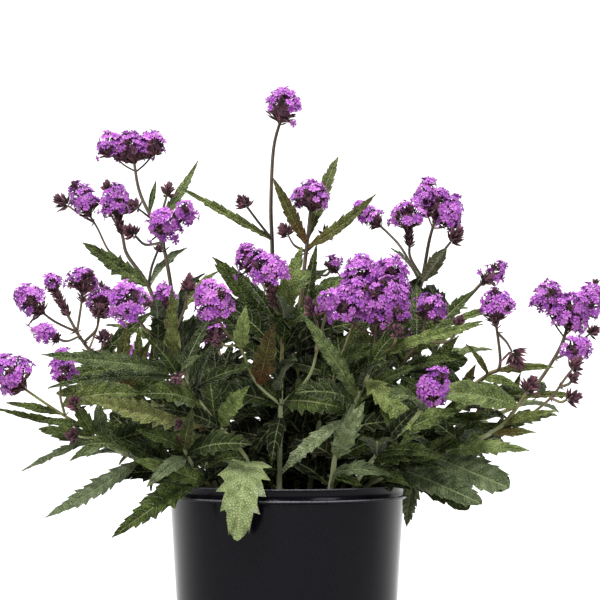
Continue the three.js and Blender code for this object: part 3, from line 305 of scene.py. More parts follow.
        ((150, 0, 198), (172, -16, 230), 10, 70, 0.05, 0.6, 0.9),
        ((176, 2, 208), (186, -10, 238), 8, 70, 0.05, 0.55, 0.8),
        ((134, -1, 190), (182, 34, 188), 18, 10, 0.12, 0.5),
        ((108, -3, 176), (160, 24, 168), 20, 20, 0.14, 0.3),
        ((104, -3, 174), (98, 34, 111), 17, 60, 0.06, 0.55, -0.4),
        ((184, 2, 212), (220, 28, 206), 12, 10, 0.1),
    )),
    Plant("far_right", (62, -22), (
        Shoot(((96, -30, 180), (138, -40, 222), (158, -44, 238), (167, -46, 246),
            (163, -46, 282)), head=(16, 11.5, 8)),
        Shoot(((167, -46, 273), (171, -52, 264), (175, -55, 257)), bud=(8, 14)),
    ), (
        ((158, -44, 238), (140, -54, 262), 6, 60, 0.05, 0.5, 0.5),
        ((138, -40, 222), (147, -58, 246), 10, 70, 0.06, 0.42, 0.9),
        ((154, -43, 234), (182, -62, 228), 9, 60, 0.1, 0.6),
        ((122, -37, 208), (162, -62, 222), 12, 62, 0.08, 0.64),
        ((112, -34, 196), (160, -66, 204), 13, 60, 0.08, 0.64, 0.1),
        ((96, -30, 180), (146, -10, 186), 16, 40, 0.12, 0.35),
    ), (
        ((96, -30, 180), (150, 0, 170), 22, 60, 0.1, 0.12),
        ((164, -45, 243), (208, -56, 244), 9, 60, 0.05, 0.5, 0.4),
    )),
    Plant("low_right", (60, -42), (
        Shoot(((84, -52, 162), (120, -60, 176), (150, -64, 188), (168, -66, 199), (181, -68, 216),
            (186, -69, 225)), bud=(6.5, 14)),
        Shoot(((170, -66, 201), (188, -60, 206), (206, -58, 220), (216, -58, 234),
            (222, -58, 242)), bud=(5.5, 12)),
        Shoot(((206, -58, 220), (213, -64, 217), (218, -66, 219)), bud=(6, 12)),
        Shoot(((212, -58, 228), (219, -64, 231), (221, -66, 234)), bud=(4, 9)),
    ), (
        ((168, -66, 199), (210, -80, 211), 8, 58, 0.06, 0.55, 0.3),
        ((158, -65, 193), (193, -84, 194), 9, 58, 0.02, 0.5, 0.6),
        ((124, -60, 178), (188, -88, 180), 15, 60, 0.08, 0.66, -0.1),
        ((88, -53, 164), (130, -84, 192), 10, 62, 0.06, 0.5),
        ((118, -60, 174), (172, -92, 151), 28, 62, 0, 0.52, -0.6),
        ((90, -53, 163), (150, -96, 140), 26, 62, 0.02, 0.38, -0.45),
        ((84, -52, 162), (124, -86, 166), 14, 60, 0.14, 0.3),
        ((112, -58, 173), (160, -34, 158), 18, 30, 0.16, 0.2),
    ), (
        ((88, -53, 162), (142, -78, 134), 24, 58, 0.05, 0.24),
    )),
    Plant("front_right", (52, -62), (
        Shoot(((58, -68, 160), (76, -78, 182), (98, -86, 204), (109, -90, 222)), head=(14, 15, 5)),
    ), (
        ((74, -77, 180), (120, -104, 176), 14, 60, 0.12, 0.35),
        ((60, -69, 163), (96, -100, 152), 13, 60, 0.16, 0.4),
        ((84, -81, 189), (72, -98, 222), 11, 78, 0.06, 0.6),
    )),
    Plant("back_right", (38, 48), (
        Shoot(((66, 78, 190), (92, 104, 232), (104, 114, 258)), head=(15, 12, 8)),
        Shoot(((66, 78, 190), (62, 108, 216), (60, 124, 240)), head=(12, 10, 6)),
        Shoot(((84, 96, 220), (108, 92, 234), (116, 92, 242)), bud=(5, 12)),
    ), (
        ((66, 78, 190), (130, 96, 176), 22, -10, 0.14), ((62, 74, 184), (40, 130, 190), 22, -30, 0.14),
        ((86, 98, 222), (140, 120, 220), 16, -20, 0.1), ((52, 64, 168), (92, 108, 140), 24, -40, 0.26),
        ((90, 102, 228), (70, 146, 240), 14, -40, 0.08),
    )),
    Plant("back", (8, 60), (
        Shoot(((14, 96, 196), (20, 124, 238), (22, 132, 264)), head=(16, 13, 10)),
        Shoot(((16, 108, 214), (-4, 126, 228), (-8, 132, 238)), bud=(5, 13)),
    ), (
        ((13, 92, 190), (62, 132, 172), 20, -40, 0.14), ((13, 92, 190), (-26, 140, 184), 22, -50, 0.14),
        ((12, 80, 174), (10, 140, 130), 26, -50, 0.3), ((17, 112, 222), (44, 156, 226), 14, -50, 0.08),
        ((10, 74, 164), (50, 112, 120), 18, -50, 0.34),
    )),
    Plant("back_left", (-24, 56), (
        Shoot(((-40, 88, 196), (-54, 114, 236), (-60, 124, 262)), head=(15, 12, 10)),
        Shoot(((-50, 106, 224), (-74, 110, 238), (-80, 112, 250)), bud=(5, 13)),
    ), (
        ((-39, 86, 192), (-90, 126, 180), 22, -40, 0.14), ((-38, 84, 190), (-20, 118, 214), 15, -50, 0.08),
        ((-36, 80, 182), (-52, 140, 140), 24, -50, 0.26), ((-54, 114, 236), (-40, 158, 240), 14, -50, 0.1),
    )),
    Plant("back_far_left", (-46, 46), (
        Shoot(((-80, 76, 184), (-108, 98, 216), (-124, 108, 240)), head=(14, 12, 8)),
        Shoot(((-94, 88, 200), (-120, 84, 206), (-130, 82, 214)), bud=(4.5, 11)),
    ), (
        ((-80, 76, 184), (-140, 104, 160), 20, -20, 0.16), ((-78, 74, 182), (-76, 130, 170), 20, -50, 0.14),
        ((-70, 68, 172), (-112, 64, 140), 18, 0, 0.26), ((-106, 96, 214), (-154, 128, 214), 14, -20, 0.1),
    )),
)

# The broad low leaves of this plant are rounded at the tip and have small teeth.
BLUNT_PLANT, BLUNT_WIDTH, BLUNT = "low_right", 20, 0.34

# ---- the frame's own rules, which place every stem, leaf and head
STEM_FOOT = 124
UPRIGHT_FOOT = 22
SPREAD_START, SPREAD_FULL, SPREAD_DEPTH = 170, 290, 0.5
RUN_SAMPLES = 8
HEEL_SHARE = 0.2
STEM_ROOM, HEAD_ROOM, BLADE_ROOM, RIM_ROOM = 1.5, 2, 1.9, 1.2
MOST_ROOM = 26
SWINGS, SWING_STEP = 15, 6
BLADE_STEPS, SAMPLE_SPACING = 14, 5
LEAF_BELLY, BROAD_BELLY, BROAD_FULLNESS, LEAF_FOLD = 0.8, 1, 0.5, 0.22
SLIM_SHARE, BROAD_SHARE = 0.25, 0.5
FILLER_HEIGHTS = (176, 214)
FILLER_LENGTH, FILLER_RISE, FILLER_WIDTH, FILLER_ARCH, FILLER_TURNS = 66, 10, 25, 0.1, 24
FRONT_FACE, BACK_FACE = 55, -35
GOLDEN_ANGLE = math.pi * (3 - math.sqrt(5))
RIM_RADIUS, WALL_TOP_RADIUS, FOOT_RADIUS, WALL = 95, 93.2, 85.4, 1.6
POT_HEIGHT, RIM_HEIGHT, FLOOR, SOIL_LEVEL = 150, 12, 2, 139
HEAD_OWNER = -1

Twig = namedtuple("Twig", "shoot main points samples tip axis")
Blade = namedtuple("Blade", "heel tip width face arch tone tint", defaults=(None, 0))
Growth = namedtuple("Growth", "plant twigs line leaves")


def unit(vector):
    return vector / np.linalg.norm(vector, axis=-1, keepdims=True)


def spread(point):
    """A listed point, set further forwards or backwards the higher it stands, so that the bush opens."""
    x, y, z = point
    share = min(max((z - SPREAD_START) / (SPREAD_FULL - SPREAD_START), 0), 1)
    return np.array([x, y * (1 + SPREAD_DEPTH * share), z], float)


def along_runs(points):
    runs = [points[0]]
    for start, end in zip(points, points[1:]):
        runs += [start + (end - start) * (i + 1) / RUN_SAMPLES for i in range(RUN_SAMPLES)]
    return np.array(runs)


def nearest(point, others):
    return others[np.argmin(((others - point) ** 2).sum(1))].copy()


def grow_twigs(plant):
    """The shoots of a plant. The first starts in the compost and the others on an earlier one."""
    line = np.empty((0, 3))
    twigs = []
    for index, shoot in enumerate(plant.shoots):
        points = [spread(point) for point in shoot.path]
        if index == 0:
            heights = (STEM_FOOT, STEM_FOOT + UPRIGHT_FOOT)
            points = [np.array([*plant.root, z], float) for z in heights] + points
        else:
            points[0] = nearest(points[0], line)
        samples = along_runs(points)
        line = np.vstack([line, samples])
        axis = unit(points[-1] - points[-2])
        twigs.append(Twig(shoot, index == 0, np.array(points), samples, points[-1], axis))
    return twigs


def domes_of(twig):
    """The middle of the underside, the radius and the half height of each dome of a head."""
    radius, half_height, _ = twig.shoot.head
    others = [(spread(dome[:3]), *dome[3:]) for dome in twig.shoot.domes]
    return [(twig.tip, radius, half_height), *others]


def in_pot(points):
    radius = np.hypot(points[:, 0], points[:, 1])
    inside = (radius > WALL_TOP_RADIUS - WALL - RIM_ROOM) & (radius < RIM_RADIUS + RIM_ROOM)
    in_soil = (radius <= RIM_RADIUS) & (points[:, 2] < SOIL_LEVEL + 2 * RIM_ROOM)
    return in_soil | (inside & (points[:, 2] < POT_HEIGHT + RIM_ROOM))


class Neighbours:
    """Points to stay clear of. A row is a place, the room it needs, its owner and its share along a leaf."""

    def __init__(self):
        self.rows = np.empty((0, 6))

    def add(self, points, room, owner, shares=-1):
        count = len(points)
        columns = [np.broadcast_to(value, count)[:, None] for value in (room, owner, shares)]
        self.rows = np.vstack([self.rows, np.hstack([points, *columns])])

    def crowding(self, points, shares, owner):
        """How many points of a blade stand too near to something else, or in the pot."""
        low, high = points.min(0) - MOST_ROOM, points.max(0) + MOST_ROOM
        near = self.rows[np.all((self.rows[:, :3] > low) & (self.rows[:, :3] < high), axis=1)]
        gaps = ((points[:, None] - near[None, :, :3]) ** 2).sum(-1)
        along = (near[:, 5] > HEEL_SHARE)[None] & (shares > HEEL_SHARE)[:, None]
        apart = (near[:, 4] != owner)[None] | along
        close = gaps < (near[:, 3] + BLADE_ROOM)[None] ** 2
        return int((apart & close).sum() + (in_pot(points) & (shares > HEEL_SHARE)).sum())


def half_width(blade, shares):
    """Half width of a blade at shares of its length: slim leaves are lance-shaped and broad ones blunter."""
    slenderness = blade.width / np.linalg.norm(blade.heel - blade.tip)
    breadth = min(max((slenderness - SLIM_SHARE) / (BROAD_SHARE - SLIM_SHARE), 0), 1)
    breadth = breadth * breadth * (3 - 2 * breadth)
    belly = LEAF_BELLY + (BROAD_BELLY - LEAF_BELLY) * breadth
    fullness = LEAF_BELLY + (BROAD_FULLNESS - LEAF_BELLY) * breadth
    return blade.width / 2 * np.maximum(np.sin(np.pi * shares ** belly), 0) ** fullness


def blade_frames(blade, shares):
    """The midrib points, forward, upward and sideways directions of a blade at shares of its length."""
    chord = blade.tip - blade.heel
    turn = math.radians(blade.face)
    hint = np.array([0, -math.sin(turn), math.cos(turn)])
    along = unit(chord)
    lift = unit(hint - along * hint.dot(along))
    bend = (blade.heel + blade.tip) / 2 + lift * 2 * blade.arch * np.linalg.norm(chord)
    t = shares[..., None]
    centre = (1 - t) ** 2 * blade.heel + 2 * (1 - t) * t * bend + t ** 2 * blade.tip
    forward = unit(2 * (1 - t) * (bend - blade.heel) + 2 * t * (blade.tip - bend))
    up = unit(hint - forward * (forward @ hint)[..., None])
    return centre, forward, up, np.cross(forward, up)


def blade_samples(blade):
    shares, across = [], []
    for i in range(1, BLADE_STEPS + 1):
        share = i / BLADE_STEPS
        width = float(half_width(blade, np.array(share)))
        reaches = max(1, math.ceil(width / SAMPLE_SPACING))
        shares += [share] * (2 * reaches + 1)
        across += [width * j / reaches for j in range(-reaches, reaches + 1)]
    shares, across = np.array(shares), np.array(across)[:, None]
    centre, _, up, side = blade_frames(blade, shares)
    return centre + side * across + up * LEAF_FOLD * abs(across), shares


def alternating(i):
    """0, 1, -1, 2, -2 and so on."""
    return math.ceil(i / 2) * (1 if i % 2 else -1)


def clearest(blades, owner, neighbours):
    """The first blade that stands clear, or else the least crowded, after its hits and before its samples."""
    best = None
    for blade in blades:
        samples = blade_samples(blade)
        hits = neighbours.crowding(*samples, owner)
        if best is None or hits < best[0]:
            best = (hits, blade, samples)
        if hits == 0:
            break
    return best


def branching(heel, angle, length, rise, width, arch, lean=0):
    """A blade that leaves its stem at that angle, with its upper face to the front or to the back."""
    tip = heel + [length * math.cos(angle), length * math.sin(angle), rise]
    face = FRONT_FACE if heel[1] + tip[1] < 0 else BACK_FACE
    return Blade(heel, tip, width, face + lean, arch)


def grow_leaf(row, owner, line, neighbours):
    """The leaf swings its tip forwards or backwards until its blade stands clear of the neighbours."""
    listed = Blade(*row)
    heel, tip = nearest(spread(listed.heel), line), spread(listed.tip)
    swings = (-alternating(i) * SWING_STEP for i in range(SWINGS))
    blades = (listed._replace(heel=heel, tip=tip + [0, swing, 0]) for swing in swings)
    _, blade, (points, shares) = clearest(blades, owner, neighbours)
    neighbours.add(points, BLADE_ROOM, owner, shares)
    return blade


def grow_fillers(owner, line, neighbours):
    """A low leaf at each filler height, turned to the first side where it stands clear."""
    leaves = []
    for level, height in enumerate(FILLER_HEIGHTS):
        heel = line[np.argmin(abs(line[:, 2] - height))]
        start = (owner + 0.5 * level) * GOLDEN_ANGLE
        angles = (start + 2 * math.pi * i / FILLER_TURNS for i in range(FILLER_TURNS))
        blades = (branching(heel, angle, FILLER_LENGTH, FILLER_RISE, FILLER_WIDTH, FILLER_ARCH)
                  for angle in angles)
        hits, blade, (points, shares) = clearest(blades, owner, neighbours)
        if hits == 0:
            neighbours.add(points, BLADE_ROOM, owner, shares)
            leaves.append(blade)
    return leaves


EXTRA_LOW, EXTRA_HIGH, EXTRA_STEP, BARE_TOP = 150, 292, 11, 25
EXTRA_TURNS, EXTRA_TURN = 9, 0.17
EXTRA_LENGTHS, EXTRA_SLIMNESS, EXTRA_ARCHES = (48, 80), (0.24, 0.36), (0.07, 0.17)
# How many crowded points a leaf may have, and the parts of the bush that stay open.
EXTRA_CROWDING, BACK_CROWDING = 22, 60
EXTRA_FRONT, EXTRA_SIDE, FRONT_LOW, EXTRA_REACH, EXTRA_TOP = -38, 75, 210, 112, 212


def grow_extra(owner, growth, neighbours):
    """Pairs of leaves up the main stem, each pair a quarter turn on, where there is room among the others."""
    draw = random.Random(f"extra {growth.plant.name}")
    main = growth.twigs[0].samples
    leaves = []
    for level, height in enumerate(range(EXTRA_LOW, EXTRA_HIGH, EXTRA_STEP)):
        if height > main[-1, 2] - BARE_TOP:
            break
        heel = main[np.argmin(abs(main[:, 2] - height))]
        high = (height - EXTRA_LOW) / (EXTRA_HIGH - EXTRA_LOW)
        for side in (0, math.pi):
            start = owner * GOLDEN_ANGLE + level * math.pi / 2 + side + draw.uniform(-0.3, 0.3)
            length = draw.uniform(*EXTRA_LENGTHS) * (1 - 0.35 * high)
            rise = draw.uniform(0, 40) + 16 * high
            width = length * draw.uniform(*EXTRA_SLIMNESS)
            lean, arch = draw.uniform(-22, 22), draw.uniform(*EXTRA_ARCHES)
            angles = (start + alternating(i) * EXTRA_TURN for i in range(EXTRA_TURNS))
            blades = (branching(heel, angle, length, rise, width, arch, lean) for angle in angles)
            hits, blade, (points, shares) = clearest(blades, owner, neighbours)
            x, y, z = blade.tip
            in_front = y < EXTRA_FRONT and abs(x) < EXTRA_SIDE
            if (abs(x) > EXTRA_REACH and z > EXTRA_TOP) or (in_front and height < FRONT_LOW):
                continue
            if hits <= (0 if in_front else EXTRA_CROWDING if y < 0 else BACK_CROWDING):
                neighbours.add(points, BLADE_ROOM, owner, shares)
                leaves.append(blade)
    return leaves


def grow_all():
    """Every plant with its shoots and leaves, in the places that the frame gives them."""
    neighbours = Neighbours()
    grown = []
    for owner, plant in enumerate(PLANTS):
        twigs = grow_twigs(plant)
        for twig in twigs:
            neighbours.add(twig.samples, (MAIN_RADIUS if twig.main else SHOOT_RADIUS) + STEM_ROOM, owner)
            if twig.shoot.bud:
                radius, length = twig.shoot.bud
                middle = twig.tip + twig.axis * length / 2
                neighbours.add(middle[None], max(radius, length / 2) + 1, owner)
            else:
                for base, radius, half_height in domes_of(twig):
                    middle = base + twig.axis * half_height
                    neighbours.add(middle[None], max(radius, half_height) + HEAD_ROOM, HEAD_OWNER)
        grown.append(Growth(plant, twigs, np.vstack([twig.samples for twig in twigs]), []))
    for owner, growth in enumerate(grown):
        growth.leaves.extend(grow_leaf(row, owner, growth.line, neighbours) for row in growth.plant.leaves)
    for owner, growth in enumerate(grown):
        growth.leaves.extend(grow_fillers(owner, growth.line, neighbours))
    extras = [grow_extra(owner, growth, neighbours) for owner, growth in enumerate(grown)]
    return grown, extras


# ---- meshes
def smooth_curve(points, per_run):
    """A smooth curve through the points, with that many steps from each to the next."""
    ends = np.vstack([2 * points[0] - points[1], points, 2 * points[-1] - points[-2]])
    t = np.arange(per_run)[:, None] / per_run
    parts = []
    for a, b, c, d in zip(ends, ends[1:], ends[2:], ends[3:]):
        start, end = (c - a) / 2, (d - b) / 2
        square, cube = 3 * (c - b) - 2 * start - end, 2 * (b - c) + start + end
        parts.append(b + start * t + square * t ** 2 + cube * t ** 3)
    return np.vstack([*parts, points[-1]])


def tube_frames(centres):
    """Sideways directions along a line of centres, carried on without a twist."""
    forward = unit(np.gradient(centres, axis=0))
    side = unit(np.cross(forward[0], [0.31, 0.92, 0.24]))
    sides = []
    for direction in forward:
        side = unit(side - direction * side.dot(direction))
        sides.append(side)
    sides = np.array(sides)
    return sides, np.cross(forward, sides)


def ring_faces(rings, corners):
    """Quads between rings of corners, and a cap at each end."""
    i = np.arange(corners)
    ring = np.stack([i, (i + 1) % corners, (i + 1) % corners + corners, i + corners], axis=1)
    faces = (ring[None] + (np.arange(rings - 1) * corners)[:, None, None]).reshape(-1, 4).tolist()
    return faces + [list(range(corners))[::-1], list(range((rings - 1) * corners, rings * corners))]


class Gathered:
    """The points, faces, finishes, surface coordinates and tones of one piece, gathered shape by shape.

    The flush is the brown of a stem, the tint of a leaf, the painted shade of a floret that sits deep in its
    head, or 1 in a tuft.
    """

    def __init__(self):
        self.points, self.faces, self.finishes, self.surface, self.tones = [], [], [], [], []
        self.count = 0

    def add(self, points, faces, finish, surface, tone, flush=0.0):
        count = len(points)
        self.points.append(points)
        self.faces += [[corner + self.count for corner in face] for face in faces]
        self.finishes += np.broadcast_to(finish, len(faces)).tolist()
        self.surface.append(np.asarray(surface, float).reshape(-1, 2))
        self.tones.append(np.stack([np.broadcast_to(tone, count), np.broadcast_to(flush, count)], axis=1))
        self.count += count

    def turn(self, profile, sides, tones):
        """A closed shape turned round the vertical axis, with a radius, a height and a tone for each ring."""
        angle = np.arange(sides) * 2 * math.pi / sides
        ring = np.stack([np.cos(angle), np.sin(angle)], axis=1)
        rings = [np.column_stack([ring * radius, np.broadcast_to(height, sides)])
                 for radius, height in profile]
        surface = np.zeros((len(rings) * sides, 2))
        self.add(np.vstack(rings), ring_faces(len(rings), sides), 0, surface, np.repeat(tones, sides))

    def piece(self, name, materials, nodes):
        """The gathered shapes as one piece of the scene that stands for those nodes of the frame."""
        mesh = bpy.data.meshes.new(name)
        mesh.from_pydata((np.vstack(self.points) * MM).tolist(), [], self.faces)
        mesh.polygons.foreach_set("material_index", np.array(self.finishes, np.int32))
        corners = np.empty(len(mesh.loops), np.int32)
        mesh.loops.foreach_get("vertex_index", corners)
        layer = mesh.uv_layers.new(name="surface")
        layer.data.foreach_set("uv", np.vstack(self.surface)[corners].astype(np.float32).ravel())
        for column, attribute in enumerate(("tone", "flush")):
            values = mesh.attributes.new(attribute, "FLOAT", "POINT")
            values.data.foreach_set("value", np.vstack(self.tones)[:, column].astype(np.float32))
        mesh.shade_smooth()
        mesh.set_sharp_from_angle(angle=math.radians(SHARP_ANGLE))
        for material in materials:
            mesh.materials.append(material)
        thing = bpy.data.objects.new(name, mesh)
        bpy.context.scene.collection.objects.link(thing)
        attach(thing, BODY)
        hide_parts(*nodes)


# The frame's stem radii, and those of a side shoot here at its foot and at its tip.
MAIN_RADIUS, SHOOT_RADIUS = 2, 1.1
SHOOT_RADII = (1.25, 1.0)
SHARP_ANGLE = 60
STEM_STEPS = 7
# The radius round a stem, from a ridge to the middle of a channel and on.
CHANNEL, RIDGE = 0.7, 0.3
STEM_SHAPE = np.array([1, 0.8, CHANNEL, 0.8] * 4)
FLUSH_START, FLUSH_RUN, FLUSH_OUTER = 225, 110, 80
BARK, UPPER, UNDER, CALYX = range(4)
PETAL, HEAD_CALYX = range(2)


def tube(gathered, curve, radii, finish, surface, tone, flush=0.0):
    """A closed tube round a curve, with a radius for each corner of each of its rings."""
    sides, across = tube_frames(curve)
    rings, corners = radii.shape
    angle = np.arange(corners) * 2 * math.pi / corners
    ring = sides[:, None] * np.cos(angle)[:, None] + across[:, None] * np.sin(angle)[:, None]
    points = curve[:, None] + ring * radii[..., None]
    gathered.add(points.reshape(-1, 3), ring_faces(rings, corners), finish, surface, tone, flush)


def stem_tube(gathered, curve, radii, draw):
    """A square stem with a rounded ridge on each corner and a shallow channel on each face."""
    rings = np.linspace(*radii, len(curve))[:, None] * STEM_SHAPE
    run = np.linspace(0, 1, len(curve))[:, None]
    surface = np.stack(np.broadcast_arrays((STEM_SHAPE - CHANNEL) / RIDGE, run), axis=-1)
    outer = np.maximum(np.hypot(curve[:, 0], curve[:, 1]) - FLUSH_OUTER, 0)
    flush = np.clip((curve[:, 2] - FLUSH_START + 0.5 * outer) / FLUSH_RUN, 0, 1)
    tube(gathered, curve, rings, BARK, surface, draw.random(), np.repeat(flush, len(STEM_SHAPE)))


ROWS_PER_TOOTH = 3
BROAD, TOOTH_SPACING, WIDER_SPACING = 18, 6.2, 0.12
# The depth of a tooth is a share of the half width, and its lean a share of the tooth's own length.
TOOTH_DEEPEST, TOOTH_SLIM, TOOTH_GAIN, TOOTH_LEAN = 0.3, 0.06, 0.0115, 0.42
PETIOLE, GROOVE, GROOVE_WIDTH, RIB, RIB_WIDTH, VEIN_RELIEF, THICKNESS = 0.35, 0.6, 0.9, 1.5, 0.8, 0.3, 0.45
# How much painted shade darkens a leaf at the plant's middle against the outside, and where that starts and
# ends.
SHADE = 0.34
INNER, OUTER, SHADE_HEIGHT = 22, 88, 205
VEIN_SLANT = 0.75
TOOTH_REACH = np.array([-0.3, 1.0, 0.65])


def leaf_blade(gathered, blade, draw, rounded=False, columns=4):
    """A closed leaf: a quilted upper face, a ribbed underside and forward-leaning teeth on both edges."""
    blunt = BLUNT if rounded and blade.width > BLUNT_WIDTH else 0

    def width_at(shares):
        fuller = np.maximum(np.sin(np.pi * shares), 0.02) ** -blunt
        return half_width(blade, shares) * np.where(shares > 0.5, fuller, 1)

    length = float(np.linalg.norm(blade.tip - blade.heel))
    broad = min(1, blade.width / BROAD)
    teeth = max(3, round(length / (TOOTH_SPACING + WIDER_SPACING * blade.width)))
    rows = teeth * ROWS_PER_TOOTH + 1
    row = np.arange(rows)
    phase = (row % ROWS_PER_TOOTH) / ROWS_PER_TOOTH
    across = np.arange(-columns, columns + 1) / columns
    a = abs(across)[None]
    base = (row / (rows - 1))[:, None]
    body = np.sin(math.pi * base) ** 0.5
    width_here = width_at(np.clip(base, 0.004, 0.996))
    share = base + VEIN_SLANT * a * width_here / length
    # Each edge has teeth of its own size, and its own curl.
    tooth, jut, tips = (np.array([[draw.gauss(0, 1) for _ in across] for _ in row]) for _ in range(3))
    on_tooth = (phase == 0)[:, None]
    share = np.clip(share + on_tooth * a ** 3 * (TOOTH_LEAN + 0.14 * tips) / teeth, 0, 1)
    reach = np.maximum(width_at(share), PETIOLE + 1.1 * (1 - base) ** 8)
    deep = (1 - 1.6 * blunt) * min(TOOTH_DEEPEST, TOOTH_SLIM + TOOTH_GAIN * blade.width)
    deep = deep * TOOTH_REACH[row % ROWS_PER_TOOTH][:, None]
    deep = deep * np.clip(1 + 0.4 * tooth, 0.2, 1.8) - 0.05 * broad * on_tooth * np.maximum(jut, -0.5)
    x = across[None] * reach * (1 - deep * a ** 3)
    centre, _, up, side = blade_frames(blade, share)
    curl, waves, start = draw.uniform(0.9, 2.0) * broad, length / draw.uniform(15, 27), draw.uniform(0, 6)
    hand = np.sign(across)[None]
    ripple = curl * np.sin(2 * math.pi * share * waves + start + 1.6 * hand) * a ** 2
    ripple = ripple + (0.5 + 0.4 * broad) * on_tooth * tips * a ** 4
    quilt = np.sin(math.pi * phase)[:, None] * np.sin(math.pi * np.minimum(a * 1.08, 1)) ** 0.7
    quilt = quilt * (1 + 0.3 * jut) * min(1.7, blade.width / 12)
    groove = GROOVE * np.exp(-(a * reach / GROOVE_WIDTH) ** 2)
    height = LEAF_FOLD * abs(x) + (quilt + ripple - groove) * body
    top = centre + side * x[..., None] + up * height[..., None]
    rib = RIB * (1 - 0.75 * base) * np.exp(-(a * reach / RIB_WIDTH) ** 2)
    thick = THICKNESS * (1 - a ** 6) + rib + VEIN_RELIEF * on_tooth * (1 - a)
    low = centre + side * x[..., None] + up * (height - thick)[..., None]
    ring = np.concatenate([top, low[:, -2:0:-1]], axis=1)
    corners = ring.shape[1]
    count = np.broadcast_to((row / ROWS_PER_TOOTH)[:, None], (rows, corners))
    u = np.broadcast_to(0.5 + 0.5 * np.concatenate([across, across[-2:0:-1]])[None], (rows, corners))
    over = np.tile(np.arange(corners) < 2 * columns, rows - 1)
    finish = np.concatenate([np.where(over, UPPER, UNDER), [UNDER, UPPER]])
    faces = [face[::-1] for face in ring_faces(rows, corners)]
    points = ring.reshape(-1, 3)
    # Painted shade: a leaf is painted darker near the middle of the bush, where the foliage around it would
    # shade it, and less so higher up.
    out = np.hypot(points[:, 0], points[:, 1]) + 0.45 * np.maximum(points[:, 2] - SHADE_HEIGHT, 0)
    inner = 1 - np.clip((out - INNER) / (OUTER - INNER), 0, 1)
    gathered.add(points, faces, finish, np.stack([u, count], axis=-1), blade.tone - SHADE * inner, blade.tint)


SPINDLE_RINGS = ((0.0, 0.45), (0.5, 1.0), (1.0, 0.16))
SPINDLE_SIDES = 4
BUD_REACH, BUD_WIDTHS = (0.9, 1.2), (2.0, 2.8)
WHISKERS, WHISKER_REACH, WHISKER_WIDTH = 7, (1.2, 1.5), 0.45
BRACTS, BRACT_LENGTHS, BRACT_WIDTH = 3, (3.5, 7), 1.3


def calyces(gathered, rows, finish, draw, flush=0.0):
    """Narrow pointed calyces. Each row is the root, direction, length and width of one."""
    angle = np.arange(SPINDLE_SIDES) * 2 * math.pi / SPINDLE_SIDES
    faces = ring_faces(len(SPINDLE_RINGS), SPINDLE_SIDES)
    surface = [(j / SPINDLE_SIDES, along) for along, _ in SPINDLE_RINGS for j in range(SPINDLE_SIDES)]
    for root, direction, length, width in rows:
        across = unit(np.cross(direction, [0.21, 0.34, 0.92]))
        turn = angle + draw.uniform(0, 6)
        rim = np.cos(turn)[:, None] * across + np.sin(turn)[:, None] * np.cross(direction, across)
        points = [root + direction * length * along + rim * width * radius / 2
                  for along, radius in SPINDLE_RINGS]
        gathered.add(np.vstack(points), faces, finish, surface, draw.random(), flush)


def basis(axis):
    side = unit(np.cross([0.2, 1, 0.1], axis))
    return side, np.cross(axis, side)


def turned_to(first, second, angle):
    """The direction at that angle from the first towards the second."""
    return first * math.cos(angle) + second * math.sin(angle)


def on_ball(tilt, turn):
    """The point of a unit ball at a tilt from its axis and a turn round it."""
    flat = math.sin(tilt)
    return np.array([flat * math.cos(turn), flat * math.sin(turn), math.cos(tilt)])


def scatter(draw, width):
    return np.array([draw.gauss(0, width) for _ in range(3)])


def bud_spike(gathered, base, axis, radius, length, draw):
    """A spike of closed calyces: wide open at its foot and drawn to a point, with a few long whiskers."""
    side, across = basis(axis)
    count = round(12 + radius * length * 0.45)
    rows = []
    for i in range(count + WHISKERS):
        whisker = i >= count
        share = draw.random() if whisker else (i + 0.5) / count
        out = turned_to(side, across, i * GOLDEN_ANGLE + draw.uniform(-0.4, 0.4))
        tilt = math.radians(66 - 58 * share + draw.uniform(-12, 12))
        root = base + axis * share * (length - 4) + out * radius * 0.2 * (1 - share)
        reach = radius * 1.2 * (1 - 0.4 * share) + 1.2
        reach *= draw.uniform(*(WHISKER_REACH if whisker else BUD_REACH))
        width = WHISKER_WIDTH if whisker else draw.uniform(*BUD_WIDTHS)
        rows.append((root, turned_to(axis, out, tilt), reach, width))
    calyces(gathered, rows, CALYX, draw)


def bracts(gathered, foot, towards, draw):
    """Small dark bracts where a side shoot leaves its stem."""
    side, across = basis(towards)
    rows = []
    for i in range(BRACTS):
        out = turned_to(side, across, draw.uniform(0, 1) + i * 2 * math.pi / BRACTS)
        rows.append((foot, unit(towards * 0.8 + out), draw.uniform(*BRACT_LENGTHS), BRACT_WIDTH))
    calyces(gathered, rows, CALYX, draw)


# One floret, seen along its tube: a throat, five lobes that widen outwards, and a notch in the tip of each.
LOBE = ((0.95, -36, 0.0), (2.4, -27, 0.2), (3.9, -20, -0.2), (3.05, 0, 0.15))
LOBE_CREASE = (2.1, 0, 0.45)
FLORET_SIZE = 3.9
TUBE_LENGTH = 4.2


